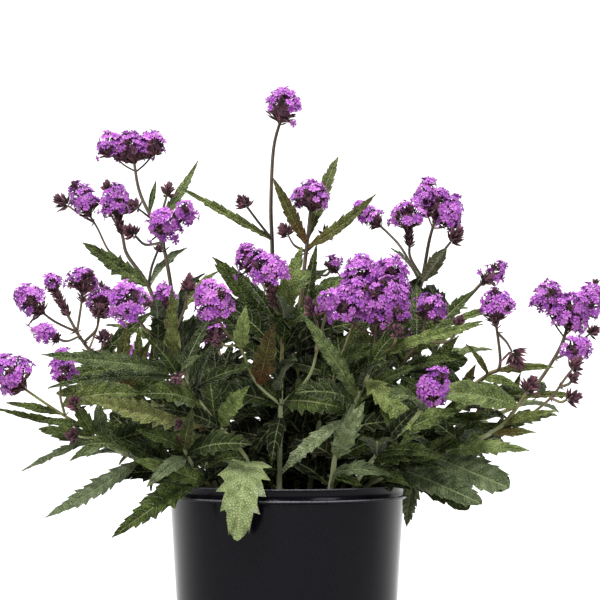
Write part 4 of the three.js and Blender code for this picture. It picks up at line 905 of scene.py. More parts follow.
def floret_template():
    """Points and faces of a floret of thin closed lobes on a tube. The opening faces +Z."""
    points, surface, faces = [(0, 0, -0.6), (0, 0, -0.9)], [(0, 0.5), (0, 0.5)], []

    def put(radius, degrees, height, turn):
        angle = math.radians(degrees) + turn
        points.append((radius * math.cos(angle), radius * math.sin(angle), height))
        surface.append((radius / FLORET_SIZE, 0.5 + degrees / 72))
        return len(points) - 1

    starts = [put(*LOBE[0], 2 * math.pi * i / 5) for i in range(5)]
    for i in range(5):
        turn = 2 * math.pi * i / 5
        first, last = starts[i], starts[(i + 1) % 5]
        low, out, notch = (put(*place, turn) for place in LOBE[1:])
        out_back, low_back = (put(r, -d, h, turn) for r, d, h in (LOBE[2], LOBE[1]))
        crease, under = (put(*LOBE_CREASE[:2], LOBE_CREASE[2] + h, turn) for h in (0, -0.45))
        faces += [(0, first, low, crease), (0, crease, low_back, last),
                  (crease, low, out, notch), (crease, notch, out_back, low_back)]
        faces += [(1, under, low, first), (1, last, low_back, under), (under, notch, out, low),
                  (under, low_back, out_back, notch)]
    tube = len(points)
    for height, radius in ((-0.6, 0.75), (-TUBE_LENGTH, 0.45)):
        for i in range(3):
            put(radius, 0, height, 2 * math.pi * i / 3)
            surface[-1] = (-0.2, 0.5)
    faces += [tuple(tube + corner for corner in face[::-1]) for face in ring_faces(2, 3)]
    return np.array(points), faces, np.array(surface)


FLORET = floret_template()


def floret(gathered, centre, facing, scale, depth, draw):
    """One crumpled floret. Painted shade darkens it the deeper it sits in the head."""
    points, faces, surface = FLORET
    side, across = basis(facing)
    turn, cup = draw.uniform(0, 6), draw.uniform(-0.07, 0.09)
    crumple = np.array([draw.gauss(0, 0.2) for _ in points])
    x = points[:, 0] * math.cos(turn) - points[:, 1] * math.sin(turn)
    y = points[:, 0] * math.sin(turn) + points[:, 1] * math.cos(turn)
    reach = points[:, 0] ** 2 + points[:, 1] ** 2
    lean = draw.uniform(-0.25, 0.25)
    z = points[:, 2] + np.where(reach > 1, cup * reach + crumple + lean * x, 0)
    placed = centre + scale * (x[:, None] * side + y[:, None] * across + z[:, None] * facing)
    gathered.add(placed, faces, PETAL, surface, draw.random(), depth)


UNDERSIDE, DOME_STRETCH = 0.16, 1.9
FLORET_CROWD = 0.44
FLORET_INSET = (2.2, 2.2, 2.4)
FLORET_SIZES, SINKING, STRAY_RADIUS = (0.84, 1.12), (-2.4, 1.4), 11
CALYX_DROP, CALYX_LENGTHS, CALYX_WIDTHS = 7, (4.2, 5.4), (1.3, 1.8)
# How low on a head's domes the florets begin, as a height on a unit ball, and how far they sit to the right
# of the stem's end and above it.
HEAD_LOOKS = {
    "tall_centre_a": (0.3, -1, -1), "left_behind_a": (0.04, 0.5, -0.8), "left_behind_b": (0.12, 1.5, -1.5),
    "far_left_tall_a": (-0.15, 1, -1), "far_left_tall_b": (-0.05, 2.5, 0.5),
    "front_left_a": (0.03, 3, -0.5), "far_left_a": (0.03, 2, -1), "far_left_b": (0.03, 0, 3),
    "far_left_c": (0.03, -3, 2), "far_left_d": (0.03, -1.5, 1.5), "far_left_e": (-0.3, 1, 0),
    "low_left_a": (0.03, 3, 2), "low_left_b": (0.03, 0.5, 1), "centre_right_a": (0.1, -1, -3),
    "centre_right_b": (0.03, -2, 0), "front_middle_a": (0.03, 1.5, -0.5), "front_middle_b": (0.03, 2, 1),
    "front_middle_c": (0.03, 2.5, -2), "cluster_front_a": (-0.05, -1, -1.5),
    "right_middle_a": (0.25, 0, -6.5), "tall_right_a": (-0.2, -2.5, -0.5), "right_a": (0.25, -1.5, -4),
    "far_right_a": (0.18, 2, 0), "front_right_a": (0.03, -2.5, -3), "far_right_behind_a": (-0.3,),
}
TUFT_ROOM, TUFT_DEPTH, TUFT_BUDS, TUFTED_RADIUS = 5.4, 0.12, 15, 13
TUFT_LENGTHS, TUFT_WIDTHS = (5.2, 7.2), (1.6, 2.3)
CORE, CORE_TILTS, CORE_SIDES = 0.48, (2, 35, 65, 90), 8
# Smaller domes that close the gaps between those of a compound head: (x, y, z, radius, half height).
BETWEEN = {
    "cluster_front_a": ((71, -50, 305, 13, 12), (56, -64, 292, 13, 12), (78, -66, 290, 14, 13)),
    "left_behind_a": ((-134, 31, 412, 10, 9), (-116, 31, 413, 10, 9)),
    "far_right_behind_a": ((217, 9, 285, 10, 9), (234, 6, 284, 10, 9)),
}
STALK_DROP, STALK_SAG, STALK_RADIUS = 11, 0.06, 0.75
# The eye stands this far to the right, this high and this far in front. The tufts are where it sees closed
# buds among the florets, across and up.
VIEW_X, VIEW_Z, VIEW_DISTANCE = 10.4, 296.4, 2800
TUFTS = (
    (-4, 455), (-17, 457), (-106, 421), (-127, 421), (-90, 363), (-82, 370), (-102, 353), (55, 314),
    (83, 319), (71, 302), (46, 292), (87, 288), (85, 274), (17, 380), (11, 377), (-24, 323), (-53, 302),
    (120, 376), (118, 368), (89, 364), (98, 369), (166, 322), (166, 303), (-175, 372), (-183, 372),
    (-220, 241), (-205, 296), (-158, 316), (-121, 300), (-111, 293), (-178, 241), (112, 290), (212, 302),
    (225, 290), (228, 258), (122, 235), (129, 231), (-8, 448), (-2, 447), (62, 306), (77, 311),
)


def stalk(gathered, start, end, draw):
    """A thin stalk that bends up from a stem to the underside of a dome."""
    middle = (start + end) / 2 + [0, 0, -STALK_SAG * float(np.linalg.norm(end - start))]
    curve = smooth_curve(np.array([start, middle, end]), 3)
    radii = np.full((len(curve), 4), STALK_RADIUS)
    tube(gathered, curve, radii, HEAD_CALYX, [(0.5, 0.5)] * radii.size, draw.random())


def tufts_on(middle, local_frame, semi):
    """Where the lines of sight to the tufts enter a dome, as points of its unit ball."""
    tufts = []
    nearer = 1 + middle[1] / VIEW_DISTANCE
    step = local_frame @ [0, 1, 0] / semi
    for x, z in TUFTS:
        x, z = (eye + (place - eye) * nearer for place, eye in ((x, VIEW_X), (z, VIEW_Z)))
        off = local_frame @ [x - middle[0], 0, z - middle[2]] / semi
        inside = step.dot(off) ** 2 - step.dot(step) * (off.dot(off) - 1)
        if inside > TUFT_DEPTH * step.dot(step):
            tufts.append(off - step * (step.dot(off) + math.sqrt(inside)) / step.dot(step))
    return tufts


def flower_dome(gathered, dome, axis, size, draw, lowest=0.03, right=0, above=0):
    """A ragged dome of florets over a dark cone of calyces, with tufts of closed buds between the florets."""
    base, radius, half_height = dome
    height = DOME_STRETCH * half_height
    middle = base + axis * (UNDERSIDE * height + 0.3) + [right, 0, above]
    side, across = basis(axis)
    local_frame = np.array([side, across, axis])
    semi = np.array([radius, radius, height]) - FLORET_INSET
    scale = size / FLORET_SIZE
    area = 2 * math.pi * semi[0] * (semi[0] + semi[2]) / 2 * (1 - lowest)
    count = round(area / (math.pi * size ** 2 * FLORET_CROWD))

    def world(local):
        return middle + local @ local_frame

    def turned(local):
        return unit(local @ local_frame)

    tufts = tufts_on(middle, local_frame, semi)
    if radius >= TUFTED_RADIUS and not tufts:
        tufts.append(on_ball(math.radians(draw.uniform(5, 40)), draw.uniform(0, 2 * math.pi)))
    rows = []
    for i in range(count):
        z = 1 - (1 - lowest) * (i + 0.5) / count
        local = unit(on_ball(math.acos(z), i * GOLDEN_ANGLE) + scatter(draw, 0.08))
        facing = turned(unit(unit(local / semi) + [0, 0, 0.3] + scatter(draw, 0.2)))
        sunk = draw.uniform(*SINKING)
        centre = world(local * semi) + facing * sunk
        if all(np.linalg.norm((local - tuft) * semi) > TUFT_ROOM for tuft in tufts):
            # Painted shade: a floret that sinks deeper or sits lower on the dome is painted darker.
            depth = min(max(0.35 - 0.25 * sunk - 0.45 * local[2] + draw.gauss(0, 0.2), 0), 1)
            floret(gathered, centre, facing, scale * draw.uniform(*FLORET_SIZES), depth, draw)
            rows.append((centre - facing * CALYX_DROP, facing,
                         draw.uniform(*CALYX_LENGTHS), draw.uniform(*CALYX_WIDTHS)))
    # A few florets stand out on their own below the edge.
    for _ in range(2 if radius > STRAY_RADIUS else 1):
        out = turned_to(side, across, draw.uniform(0, 2 * math.pi))
        facing = unit(out + axis * draw.uniform(-0.3, 0.6))
        start = base + axis * 1.5
        end = start + facing * (radius * draw.uniform(0.95, 1.12))
        stalk(gathered, start, end - facing * 3, draw)
        floret(gathered, end, facing, scale * draw.uniform(0.8, 1.0), 0.4, draw)
    # Calyces fill the inside of the dome.
    for _ in range(round(count * 0.6)):
        z = draw.uniform(lowest - 0.45, 0.6)
        local = on_ball(math.acos(z), draw.uniform(0, 2 * math.pi))
        rows.append((world(local * semi * 0.5), turned(local / semi + [0, 0, 0.03]),
                     radius * draw.uniform(0.25, 0.4), draw.uniform(1.4, 2.0)))
    # The cone below: long calyces that open up and outwards from the top of the stem.
    cone = round(14 + 1.5 * radius)
    for i in range(cone):
        tilt = math.radians(16 + 56 * (i + 0.5) / cone + draw.uniform(-5, 5))
        direction = turned_to(axis, turned_to(side, across, i * GOLDEN_ANGLE), tilt)
        rows.append((base - axis * 3 + direction * 2, direction,
                     radius * draw.uniform(0.42, 0.7), draw.uniform(1.3, 1.9)))
    calyces(gathered, rows, HEAD_CALYX, draw)
    for tuft in tufts:
        rows = []
        normal = turned(unit(tuft / semi))
        for i in range(TUFT_BUDS):
            ring = i / TUFT_BUDS
            facing = unit(normal * (1.2 - 0.5 * ring) + axis * 0.25 + scatter(draw, 0.38))
            rows.append((world(tuft * semi * 0.9) + facing * draw.uniform(-1, 1), facing,
                         draw.uniform(*TUFT_LENGTHS) - 1.4 * ring, draw.uniform(*TUFT_WIDTHS)))
        calyces(gathered, rows, HEAD_CALYX, draw, flush=1.0)
    # A dark core keeps the light from shining through.
    turns = np.arange(CORE_SIDES) * 2 * math.pi / CORE_SIDES
    core = [world(on_ball(tilt, turn) * semi * CORE) for tilt in np.radians(CORE_TILTS) for turn in turns]
    faces = [face[::-1] for face in ring_faces(len(CORE_TILTS), CORE_SIDES)]
    gathered.add(np.array(core), faces, HEAD_CALYX, [(0.5, 0.9)] * len(core), 0.0)


CLUB_LENGTH, CLUB_RADIUS, CLUB_DENSITY, CLUB_WIDENING = 15, 5.4, 3.2, 1.35
SPENT_RADIUS, SPENT_DENSITY, SPENT_TILTS, SPENT_WIDTHS = 5.5, 2.2, (28, 58), (1.1, 1.6)


def spent_spike(gathered, tip, axis, length, radius, draw):
    """The dark spike of spent calyces below a head. A long one is a dense club."""
    side, across = basis(axis)
    club = length > CLUB_LENGTH
    reach = CLUB_RADIUS if club else min(SPENT_RADIUS, 0.36 * radius)
    count = round(12 + (CLUB_DENSITY if club else SPENT_DENSITY) * length)
    roots, directions = [], []
    for i in range(count):
        out = turned_to(side, across, i * GOLDEN_ANGLE)
        roots.append(tip - axis * length * (1 - (i + 0.5) / count) + out * 0.7)
        directions.append(turned_to(axis, out, math.radians(draw.uniform(*SPENT_TILTS))))
    lengths = [reach * draw.uniform(0.8, 1.2) for _ in range(count)]
    widths = [draw.uniform(*SPENT_WIDTHS) * (CLUB_WIDENING if club else 1) for _ in range(count)]
    calyces(gathered, zip(roots, directions, lengths, widths), CALYX, draw)


# ---- materials
# Each pattern adds nodes and returns the values and links for the sockets of its material's shader.
def linear(code):
    """A colour from its sRGB hex code, in linear light."""
    values = [int(code[i:i + 2], 16) / 255 for i in (1, 3, 5)]
    return [v / 12.92 if v <= 0.04045 else ((v + 0.055) / 1.055) ** 2.4 for v in values] + [1.0]


def add_node(tree, kind, inputs=(), output=0, stops=(), **settings):
    """Add a node with its settings, its inputs as values or links, and the stops of its ramp.

    The inputs are in order or by name, and what comes back is one of the node's outputs.
    """
    node = tree.nodes.new(f"ShaderNode{kind}")
    for name, value in settings.items():
        setattr(node, name, value)
    for name, value in inputs.items() if isinstance(inputs, dict) else enumerate(inputs):
        if isinstance(value, bpy.types.NodeSocket):
            tree.links.new(value, node.inputs[name])
        else:
            node.inputs[name].default_value = value
    for i, (place, colour) in enumerate(stops):
        elements = node.color_ramp.elements
        stop = elements[i] if i < 2 else elements.new(place)
        stop.position, stop.color = place, linear(colour) if isinstance(colour, str) else colour
    return node.outputs[output] if node.outputs else None


def new_material(name, pattern, *looks):
    material = bpy.data.materials.new(name)
    material.use_nodes = True
    material.node_tree.nodes.clear()
    node = partial(add_node, material.node_tree)
    node("OutputMaterial", {"Surface": node("BsdfPrincipled", pattern(node, *looks))})
    return material


def leaf(node, stops, vein, side_share, stain, edge, roughness, sheen):
    """A living leaf: rough with a net of sunken veins, blotched, and paler along its veins and edge."""
    u, v, _ = node("SeparateXYZ", [node("UVMap", uv_map="surface")]).node.outputs
    place = node("TexCoord", output="Object")
    tone, tint = (node("Attribute", output="Fac", attribute_name=name) for name in ("tone", "flush"))
    # The net veins are 2 mm apart on the plant, and they are drawn at that scale.
    net = node("TexVoronoi", {"Vector": place, "Scale": 430}, feature="DISTANCE_TO_EDGE")
    pad = node("MapRange", (net, 0, 0.35))
    blotch = node("TexNoise", {"Vector": place, "Scale": 110, "Detail": 4})
    along = node("Math", (v, 0.5), operation="PINGPONG")
    # The net and the blotches shade the blade, and it sinks into shade beside each side vein.
    shade = node("Math", (tone, node("MapRange", (blotch, 0.3, 0.7, -0.16, 0.16))), operation="ADD")
    shade = node("Math", (shade, node("MapRange", (pad, 0, 1, -0.08, 0.03))), operation="ADD")
    shade = node("Math", (shade, node("MapRange", (along, 0.08, 0.28, 0.17, 0))), operation="SUBTRACT")
    green = node("ValToRGB", [shade], stops=stops)
    across = node("Math", (node("Math", (u, 0.5), operation="SUBTRACT"),), operation="ABSOLUTE")
    midrib = node("MapRange", (across, 0.012, 0.04, 0.55, 0))
    side_vein = node("Math", (node("MapRange", (along, 0.03, 0.1, side_share, 0)),
                              node("MapRange", (across, 0.1, 0.5, 1, 0.5))), operation="MULTIPLY")
    veins = node("Math", (midrib, side_vein), operation="MAXIMUM")
    veins = node("Math", (veins, node("MapRange", (across, 0.455, 0.5, 0, edge))), operation="MAXIMUM")
    # Down greys some of the leaves, in patches.
    downy = node("Math", (node("MapRange", (tint, -1, 0, 0.62, 0)),
                          node("MapRange", (blotch, 0.3, 0.6, 0.6, 1))), operation="MULTIPLY")
    greyed = node("ValToRGB", [shade], stops=((0, "#39413a"), (1, "#b2bcab")))
    colour = node("Mix", {0: downy, 6: green, 7: greyed}, 2, data_type="RGBA")
    colour = node("Mix", {0: veins, 6: colour, 7: linear(vein)}, 2, data_type="RGBA")
    heel = node("Math", (node("MapRange", (v, 0, 3.5, 1, 0.35)), tint), operation="MULTIPLY")
    colour = node("Mix", {0: node("Clamp", [heel]), 6: colour, 7: linear(stain)}, 2, data_type="RGBA")
    return {
        "Base Color": colour, "Roughness": roughness, "Specular IOR Level": 0.22,
        "Sheen Weight": sheen, "Sheen Roughness": 0.5,
        "Normal": node("Bump", {"Height": pad, "Strength": 1, "Distance": 0.0012}),
    }


def bark(node):
    """Living square stem: grey green low down, and flushed a dark brown purple towards the heads."""
    ridges = node("SeparateXYZ", [node("UVMap", uv_map="surface")])
    place = node("TexCoord", output="Object")
    patch = node("TexNoise", {"Vector": place, "Scale": 60, "Detail": 3})
    flush = node("Attribute", output="Fac", attribute_name="flush")
    shade = node("Math", (flush, node("MapRange", (patch, 0.3, 0.7, -0.3, 0.3))), operation="ADD")
    stops = (0, "#a6b083"), (1, "#3c2c29"), (0.3, "#85854f"), (0.6, "#5f4c36")
    colour = node("ValToRGB", [shade], stops=stops)
    # The ridges of the stem are paler.
    lighter_edge = node("MapRange", (ridges, 0.3, 1, 0, 0.3))
    colour = node("Mix", {0: lighter_edge, 6: colour, 7: linear("#b0b285")}, 2, data_type="RGBA")
    # The bristles are half a millimetre apart.
    bristle = node("TexNoise", {"Vector": place, "Scale": 1800, "Detail": 2})
    return {
        "Base Color": colour, "Roughness": 0.6, "Specular IOR Level": 0.3, "Sheen Weight": 0.1,
        "Normal": node("Bump", {"Height": bristle, "Strength": 0.5, "Distance": 0.0005}),
    }


def calyx(node):
    """Dry papery calyx: dark maroon brown with a greenish foot and a paler, downy tip."""
    along = node("SeparateXYZ", [node("UVMap", uv_map="surface")], "Y")
    tone, tuft = (node("Attribute", output="Fac", attribute_name=name) for name in ("tone", "flush"))
    # The closed buds among the florets are the darkest.
    lit = node("MapRange", (tuft, 0, 1, 1, 0.8))
    tone = node("Math", (tone, lit), operation="MULTIPLY")
    stops = (0, "#21150f"), (1, "#8b5d66"), (0.45, "#40262a"), (0.75, "#653d43")
    colour = node("ValToRGB", [tone], stops=stops)
    foot = node("MapRange", (along, 0.05, 0.4, 0.5, 0))
    colour = node("Mix", {0: foot, 6: colour, 7: linear("#3d3d22")}, 2, data_type="RGBA")
    tip = node("Math", (node("MapRange", (along, 0.55, 1, 0, 0.5)), lit), operation="MULTIPLY")
    colour = node("Mix", {0: tip, 6: colour, 7: linear("#93627a")}, 2, data_type="RGBA")
    down = node("TexNoise", {"Vector": node("TexCoord", output="Object"), "Scale": 1500})
    return {
        "Base Color": colour, "Roughness": 0.75, "Specular IOR Level": 0.2, "Sheen Weight": 0.1,
        "Normal": node("Bump", {"Height": down, "Strength": 0.5, "Distance": 0.0004}),
    }


def petal(node, lobe):
    """Fresh thin petal: bright violet with a deep throat and paler lobe tips, and darker with painted shade
    inside the head.
    """
    u, v, _ = node("SeparateXYZ", [node("UVMap", uv_map="surface")]).node.outputs
    tone, depth = (node("Attribute", output="Fac", attribute_name=name) for name in ("tone", "flush"))
    colour = node("ValToRGB", [u], stops=((0, "#4c1256"), (1, "#d089da"), (0.3, "#963ba7"), (0.6, lobe)))
    across = node("Math", (node("Math", (v, 0.5), operation="SUBTRACT"),), operation="ABSOLUTE")
    # A darker vein down the middle of each lobe, painted shade inside the head, and pinker and bluer florets.
    for place, low, high, start, end, shade in (
        (across, 0, 0.09, 0.3, 0, "#9440ac"), (depth, 0, 1, 0, 0.8, "#6e2680"),
        (tone, 0.55, 1, 0, 0.4, "#d184cb"), (tone, 0, 0.3, 0.35, 0, "#803eb4"),
    ):
        share = node("MapRange", (place, low, high, start, end))
        colour = node("Mix", {0: share, 6: colour, 7: linear(shade)}, 2, data_type="RGBA")
    return {
        "Base Color": colour, "Roughness": 0.5, "Specular IOR Level": 0.3, "Sheen Weight": 0.1,
        "Subsurface Weight": 0.12, "Subsurface Radius": (0.6, 0.3, 0.7), "Subsurface Scale": 0.0015,
    }


def plastic(node, black):
    """Moulded black polypropylene: near black, with a soft sheen at its edges, faint flow lines, dust, rubbed
    grey at its foot and painted highlights on the beads of its rim.
    """
    place = node("TexCoord", output="Object")
    stretch = node("Mapping", {"Vector": place, "Scale": (1, 1, 0.15)})
    flow = node("TexNoise", {"Vector": stretch, "Scale": 60, "Detail": 3})
    dust = node("TexNoise", {"Vector": place, "Scale": 500, "Detail": 5})
    dusted = node("MapRange", (dust, 0.55, 0.8, 0, 0.4))
    colour = node("Mix", {0: dusted, 6: black, 7: linear("#17161b")}, 2, data_type="RGBA")
    # The tone lightens the plastic to grey, patchy with the dust: rubbing at the foot, and on the rim's beads
    # a painted highlight where they would catch the light from above.
    lighter_edge = node("Math", (node("Attribute", output="Fac", attribute_name="tone"),
                         node("MapRange", (dust, 0.3, 0.6, 0.5, 0.9))), operation="MULTIPLY")
    colour = node("Mix", {0: lighter_edge, 6: colour, 7: linear("#77777c")}, 2, data_type="RGBA")
    return {
        "Base Color": colour, "Roughness": node("MapRange", (flow, 0.3, 0.7, 0.13, 0.21)),
        "IOR": 1.49, "Specular IOR Level": 0.14,
        "Normal": node("Bump", {"Height": flow, "Strength": 0.1, "Distance": 0.0003}),
    }


def compost(node, brown):
    """Damp peat compost: dark crumbs of several browns with pale fibres."""
    place = node("TexCoord", output="Object")
    crumb = node("SeparateColor", [node("TexVoronoi", {"Vector": place, "Scale": 300}, "Color")])
    grain = node("TexNoise", {"Vector": place, "Scale": 700, "Detail": 4})
    return {
        "Base Color": node("ValToRGB", [crumb], stops=((0, "#140d09"), (1, "#57432f"), (0.6, brown))),
        "Roughness": 0.9, "Normal": node("Bump", {"Height": grain, "Strength": 0.8, "Distance": 0.001}),
    }


def backdrop(node):
    """Matt white paint on a seamless sweep: even and shadowless behind the pot, with a faint grain."""
    place = node("TexCoord", output="Object")
    grain = node("TexNoise", {"Vector": place, "Scale": 40, "Detail": 2})
    tint = node("Mix", {0: grain, 6: linear("#c6c6c6"), 7: linear("#cacaca")}, 2, data_type="RGBA")
    # The sweep glows behind the pot, as a lit backdrop does, and the floor in front of it doesn't.
    lit = node("MapRange", (node("SeparateXYZ", [place], "Y"), 0, 0.7, 0, 0.85))
    bare = node("MapRange", (node("VectorMath", [place], "Value", operation="LENGTH"), 0.3, 1.8, 0.72, 1))
    seen = node("Math", (node("LightPath", output="Is Camera Ray"), bare), operation="MULTIPLY")
    glow = node("Math", (lit, seen), operation="MAXIMUM")
    return {"Base Color": tint, "Roughness": 0.9, "Emission Color": (1, 1, 1, 1), "Emission Strength": glow}


# ---- sizes and colours that a user would change
class VerbenaSizes(bpy.types.PropertyGroup):
    floret: bpy.props.FloatProperty(
        name="Floret radius", description="From the throat of a floret to the tip of a lobe",
        default=0.0039, min=0.001, max=0.01, unit="LENGTH", precision=4)
    stem: bpy.props.FloatProperty(
        name="Stem radius", description="From the middle of a main stem to its ridges, at the compost",
        default=0.0025, min=0.001, max=0.006, unit="LENGTH", precision=4)
    camera_distance: bpy.props.FloatProperty(
        name="Camera distance", description="From the middle of the pot to the camera",
        default=2.8, min=0.5, max=10, unit="LENGTH")
    view_width: bpy.props.FloatProperty(
        name="View width", description="Width that the camera sees at the middle of the pot",
        default=0.48, min=0.1, max=2, unit="LENGTH")


class VerbenaColours(bpy.types.PropertyGroup):
    petal: bpy.props.FloatVectorProperty(
        name="Petal", description="Colour of the florets' lobes",
        subtype="COLOR", size=4, min=0, max=1, default=linear("#bb62c8"))
    leaf: bpy.props.FloatVectorProperty(
        name="Leaf", description="Colour of a leaf's upper face between shade and sun",
        subtype="COLOR", size=4, min=0, max=1, default=linear("#6b7c3e"))
    pot: bpy.props.FloatVectorProperty(
        name="Pot", description="Colour of the pot's plastic",
        subtype="COLOR", size=4, min=0, max=1, default=linear("#0a0910"))
    compost: bpy.props.FloatVectorProperty(
        name="Compost", description="Colour of the compost's middle brown",
        subtype="COLOR", size=4, min=0, max=1, default=linear("#281b13"))


# ---- operators
POT_SIDES = 160
COMPOST_SIDES, COMPOST_RINGS, CRUMB = 120, 34, 0.9
# The drawn tone of a leaf is painted light: it rises from the compost up, as the low leaves stand in shade,
# and the added leaves get a dark painted shade.
LOW_TONE, EXTRA_TONE, TONE_LOW, TONE_RUN = 0.36, 0.24, 150, 200
SENSOR = 36
# The name, place, size and power of each light, in metres and watts, and the place that they point at.
LIGHTS = (
    ("key", (-0.9, -2.0, 2.6), 1.2, 98), ("fill", (1.8, -2.2, 1.5), 1.2, 26),
    ("top", (0.2, 0.2, 2.6), 1.2, 62),
)
LIT_PLACE = (0, 0, 0.25)


class VERBENA_OT_pot(bpy.types.Operator):
    """Turn the thin black pot with its rim band"""
    bl_idname = "mesh.verbena_pot"
    bl_label = "Nursery pot"

    def execute(self, context):
        lip = RIM_RADIUS + 0.8
        band = POT_HEIGHT - RIM_HEIGHT
        # The profile from the middle of the foot, up the outside, over the rim and down the inside. The third
        # number lightens the plastic: rubbed at the foot, and a painted highlight on the two beads of the
        # rim, where they would catch the light from above.
        profile = [(0.4, 0, 0), (FOOT_RADIUS - 4, 0, 0), (FOOT_RADIUS - 1.2, 0.5, 0.3), (FOOT_RADIUS, 2, 0.2)]
        profile += [(FOOT_RADIUS + (WALL_TOP_RADIUS - FOOT_RADIUS) * i / 12, 2 + (band - 2) * i / 12, 0)
                    for i in range(1, 13)]
        bead = band + 1.6
        profile += [(lip - 1.4 + 1.4 * math.cos(a), bead + 1.4 * math.sin(a), 1 if 0 < a < 1.2 else 0)
                    for a in np.radians(np.arange(-80, 81, 20))]
        profile += [(lip - 1.7, band + 3.6, 0), (lip - 1.5, POT_HEIGHT - 2.4, 0)]
        bead = POT_HEIGHT - 0.9
        profile += [(lip - 1.3 + 0.9 * math.cos(a), bead + 0.9 * math.sin(a), 0.6 if 0 < a < 1.2 else 0)
                    for a in np.radians(np.arange(-60, 91, 25))]
        profile += [(RIM_RADIUS - WALL, POT_HEIGHT - 0.2, 0), (RIM_RADIUS - WALL - 0.9, POT_HEIGHT - 1.2, 0),
                    (WALL_TOP_RADIUS - WALL, band, 0), (FOOT_RADIUS - WALL, FLOOR, 0), (0.4, FLOOR, 0)]
        gathered = Gathered()
        gathered.turn([point[:2] for point in profile], POT_SIDES, [wear_and_highlight for *_, wear_and_highlight in profile])
        black = context.scene.verbena_colours.pot
        shell = new_material("moulded_polypropylene_black", plastic, black)
        gathered.piece("pot_shell", [shell], ["pot"])
        return {"FINISHED"}


class VERBENA_OT_compost(bpy.types.Operator):
    """Fill the pot with crumbly compost"""
    bl_idname = "mesh.verbena_compost"
    bl_label = "Compost"

    def execute(self, context):
        draw = random.Random("compost")
        edge = POT_HEIGHT - RIM_HEIGHT - 2
        top = WALL_TOP_RADIUS - WALL - 1.0
        levels = [(FOOT_RADIUS - WALL - 2.5, FLOOR + 0.4), (top - 0.6, edge - 1), (top + 0.3, edge)]
        # The crumbled surface rises a little from the pot's wall, then runs level to the middle.
        for i in range(1, COMPOST_RINGS):
            rough = np.array([draw.gauss(0, CRUMB) for _ in range(COMPOST_SIDES)])
            levels.append((top * (1 - i / COMPOST_RINGS) + 0.3, edge + min(i, 5) * 0.6 + rough - 0.4))
        gathered = Gathered()
        gathered.turn(levels, COMPOST_SIDES, [0.5] * len(levels))
        peat = new_material("damp_peat_compost", compost, context.scene.verbena_colours.compost)
        gathered.piece("compost_fill", [peat], ["soil"])
        return {"FINISHED"}


class VERBENA_OT_stems(bpy.types.Operator):
    """Grow the square stems with their leaves, bud spikes and the calyces below the heads"""
    bl_idname = "mesh.verbena_stems"
    bl_label = "Leafy stems"

    def execute(self, context):
        green = context.scene.verbena_colours.leaf
        upper = (0, "#172108"), (1, "#b0be7b"), (0.28, "#3b4b19"), (0.5, green), (0.75, "#94a460")
        under = (0, "#2a341a"), (1, "#a6b08a"), (0.5, "#6d7a56")
        materials = [
            new_material("living_stem_bristly_square", bark),
            new_material("living_leaf_upper_rough", leaf,
                         upper, "#bcc48c", 0.27, "#6e4028", 0.25, 0.52, 0),
            new_material("living_leaf_underside_downy", leaf,
                         under, "#adb38e", 0.35, "#654638", 0.35, 0.75, 0.1),
            new_material("papery_calyx_downy", calyx),
        ]
        foot = round(context.scene.verbena_sizes.stem / MM, 4)
        for growth, extra in zip(*grow_all()):
            name = growth.plant.name
            draw = random.Random(name)
            gathered = Gathered()
            line = np.empty((0, 3))
            for twig in growth.twigs:
                points = twig.points.copy()
                if not twig.main:
                    points[0] = nearest(points[0], line)
                curve = smooth_curve(points, STEM_STEPS)
                line = np.vstack([line, curve])
                stem_tube(gathered, curve, (foot, foot / 2) if twig.main else SHOOT_RADII, draw)
                if not twig.main:
                    bracts(gathered, curve[0], unit(curve[1] - curve[0]), draw)
                if twig.shoot.bud:
                    bud_spike(gathered, twig.tip, twig.axis, *twig.shoot.bud, draw)
                else:
                    radius, _, length = twig.shoot.head
                    spent_spike(gathered, twig.tip, twig.axis, length, radius, draw)
            for blade in growth.leaves:
                heel = nearest(blade.heel, line)
                # Painted light: without a listed tone a leaf is painted lighter the higher its heel stands,
                # as the low leaves are in shade, with a random spread.
                high = min(max((heel[2] - TONE_LOW) / TONE_RUN, 0), 1)
                tone = LOW_TONE + 0.3 * high + draw.uniform(-0.25, 0.25)
                tint = draw.uniform(-0.6, 0.65) * high
                if blade.tone is not None:
                    tone, tint = blade.tone, blade.tint
                blade = blade._replace(heel=heel, tone=tone, tint=tint)
                leaf_blade(gathered, blade, draw, name == BLUNT_PLANT)
            for row in growth.plant.added:
                blade = Blade(*row)
                blade = blade._replace(heel=nearest(spread(blade.heel), line), tip=spread(blade.tip))
                leaf_blade(gathered, blade, draw, name == BLUNT_PLANT)
            for blade in extra:
                # Painted shade: the added leaves, mostly inside the bush, are given a dark tone.
                tone = EXTRA_TONE + draw.uniform(-0.2, 0.3)
                blade = blade._replace(heel=nearest(blade.heel, line), tone=tone)
                leaf_blade(gathered, blade, draw, columns=3)
            gathered.piece(f"leafy_stem_{name}", materials, [f"stem_{name}"])
        return {"FINISHED"}


class VERBENA_OT_heads(bpy.types.Operator):
    """Set the domes of violet florets on their calyces"""
    bl_idname = "mesh.verbena_heads"
    bl_label = "Flower heads"

    def execute(self, context):
        materials = [new_material("fresh_petal_silky", petal, context.scene.verbena_colours.petal),
                     new_material("papery_calyx_downy", calyx)]
        size = round(context.scene.verbena_sizes.floret / MM, 4)
        for plant in PLANTS:
            heads = [twig for twig in grow_twigs(plant) if twig.shoot.head]
            for index, twig in enumerate(heads):
                name = f"{plant.name}_{chr(ord('a') + index)}"
                draw = random.Random(f"head {name}")
                gathered = Gathered()
                looks = HEAD_LOOKS.get(name, ())
                domes = domes_of(twig)
                for dome in domes:
                    flower_dome(gathered, dome, twig.axis, size, draw, *looks)
                for base, *_ in domes[1:]:
                    stalk(gathered, twig.tip - twig.axis * STALK_DROP, base, draw)
                for x, y, z, *dome in BETWEEN.get(name, ()):
                    flower_dome(gathered, (spread((x, y, z)), *dome), twig.axis, size, draw, *looks)
                gathered.piece(f"flower_head_{name}", materials, [f"flower_{name}"])
        return {"FINISHED"}


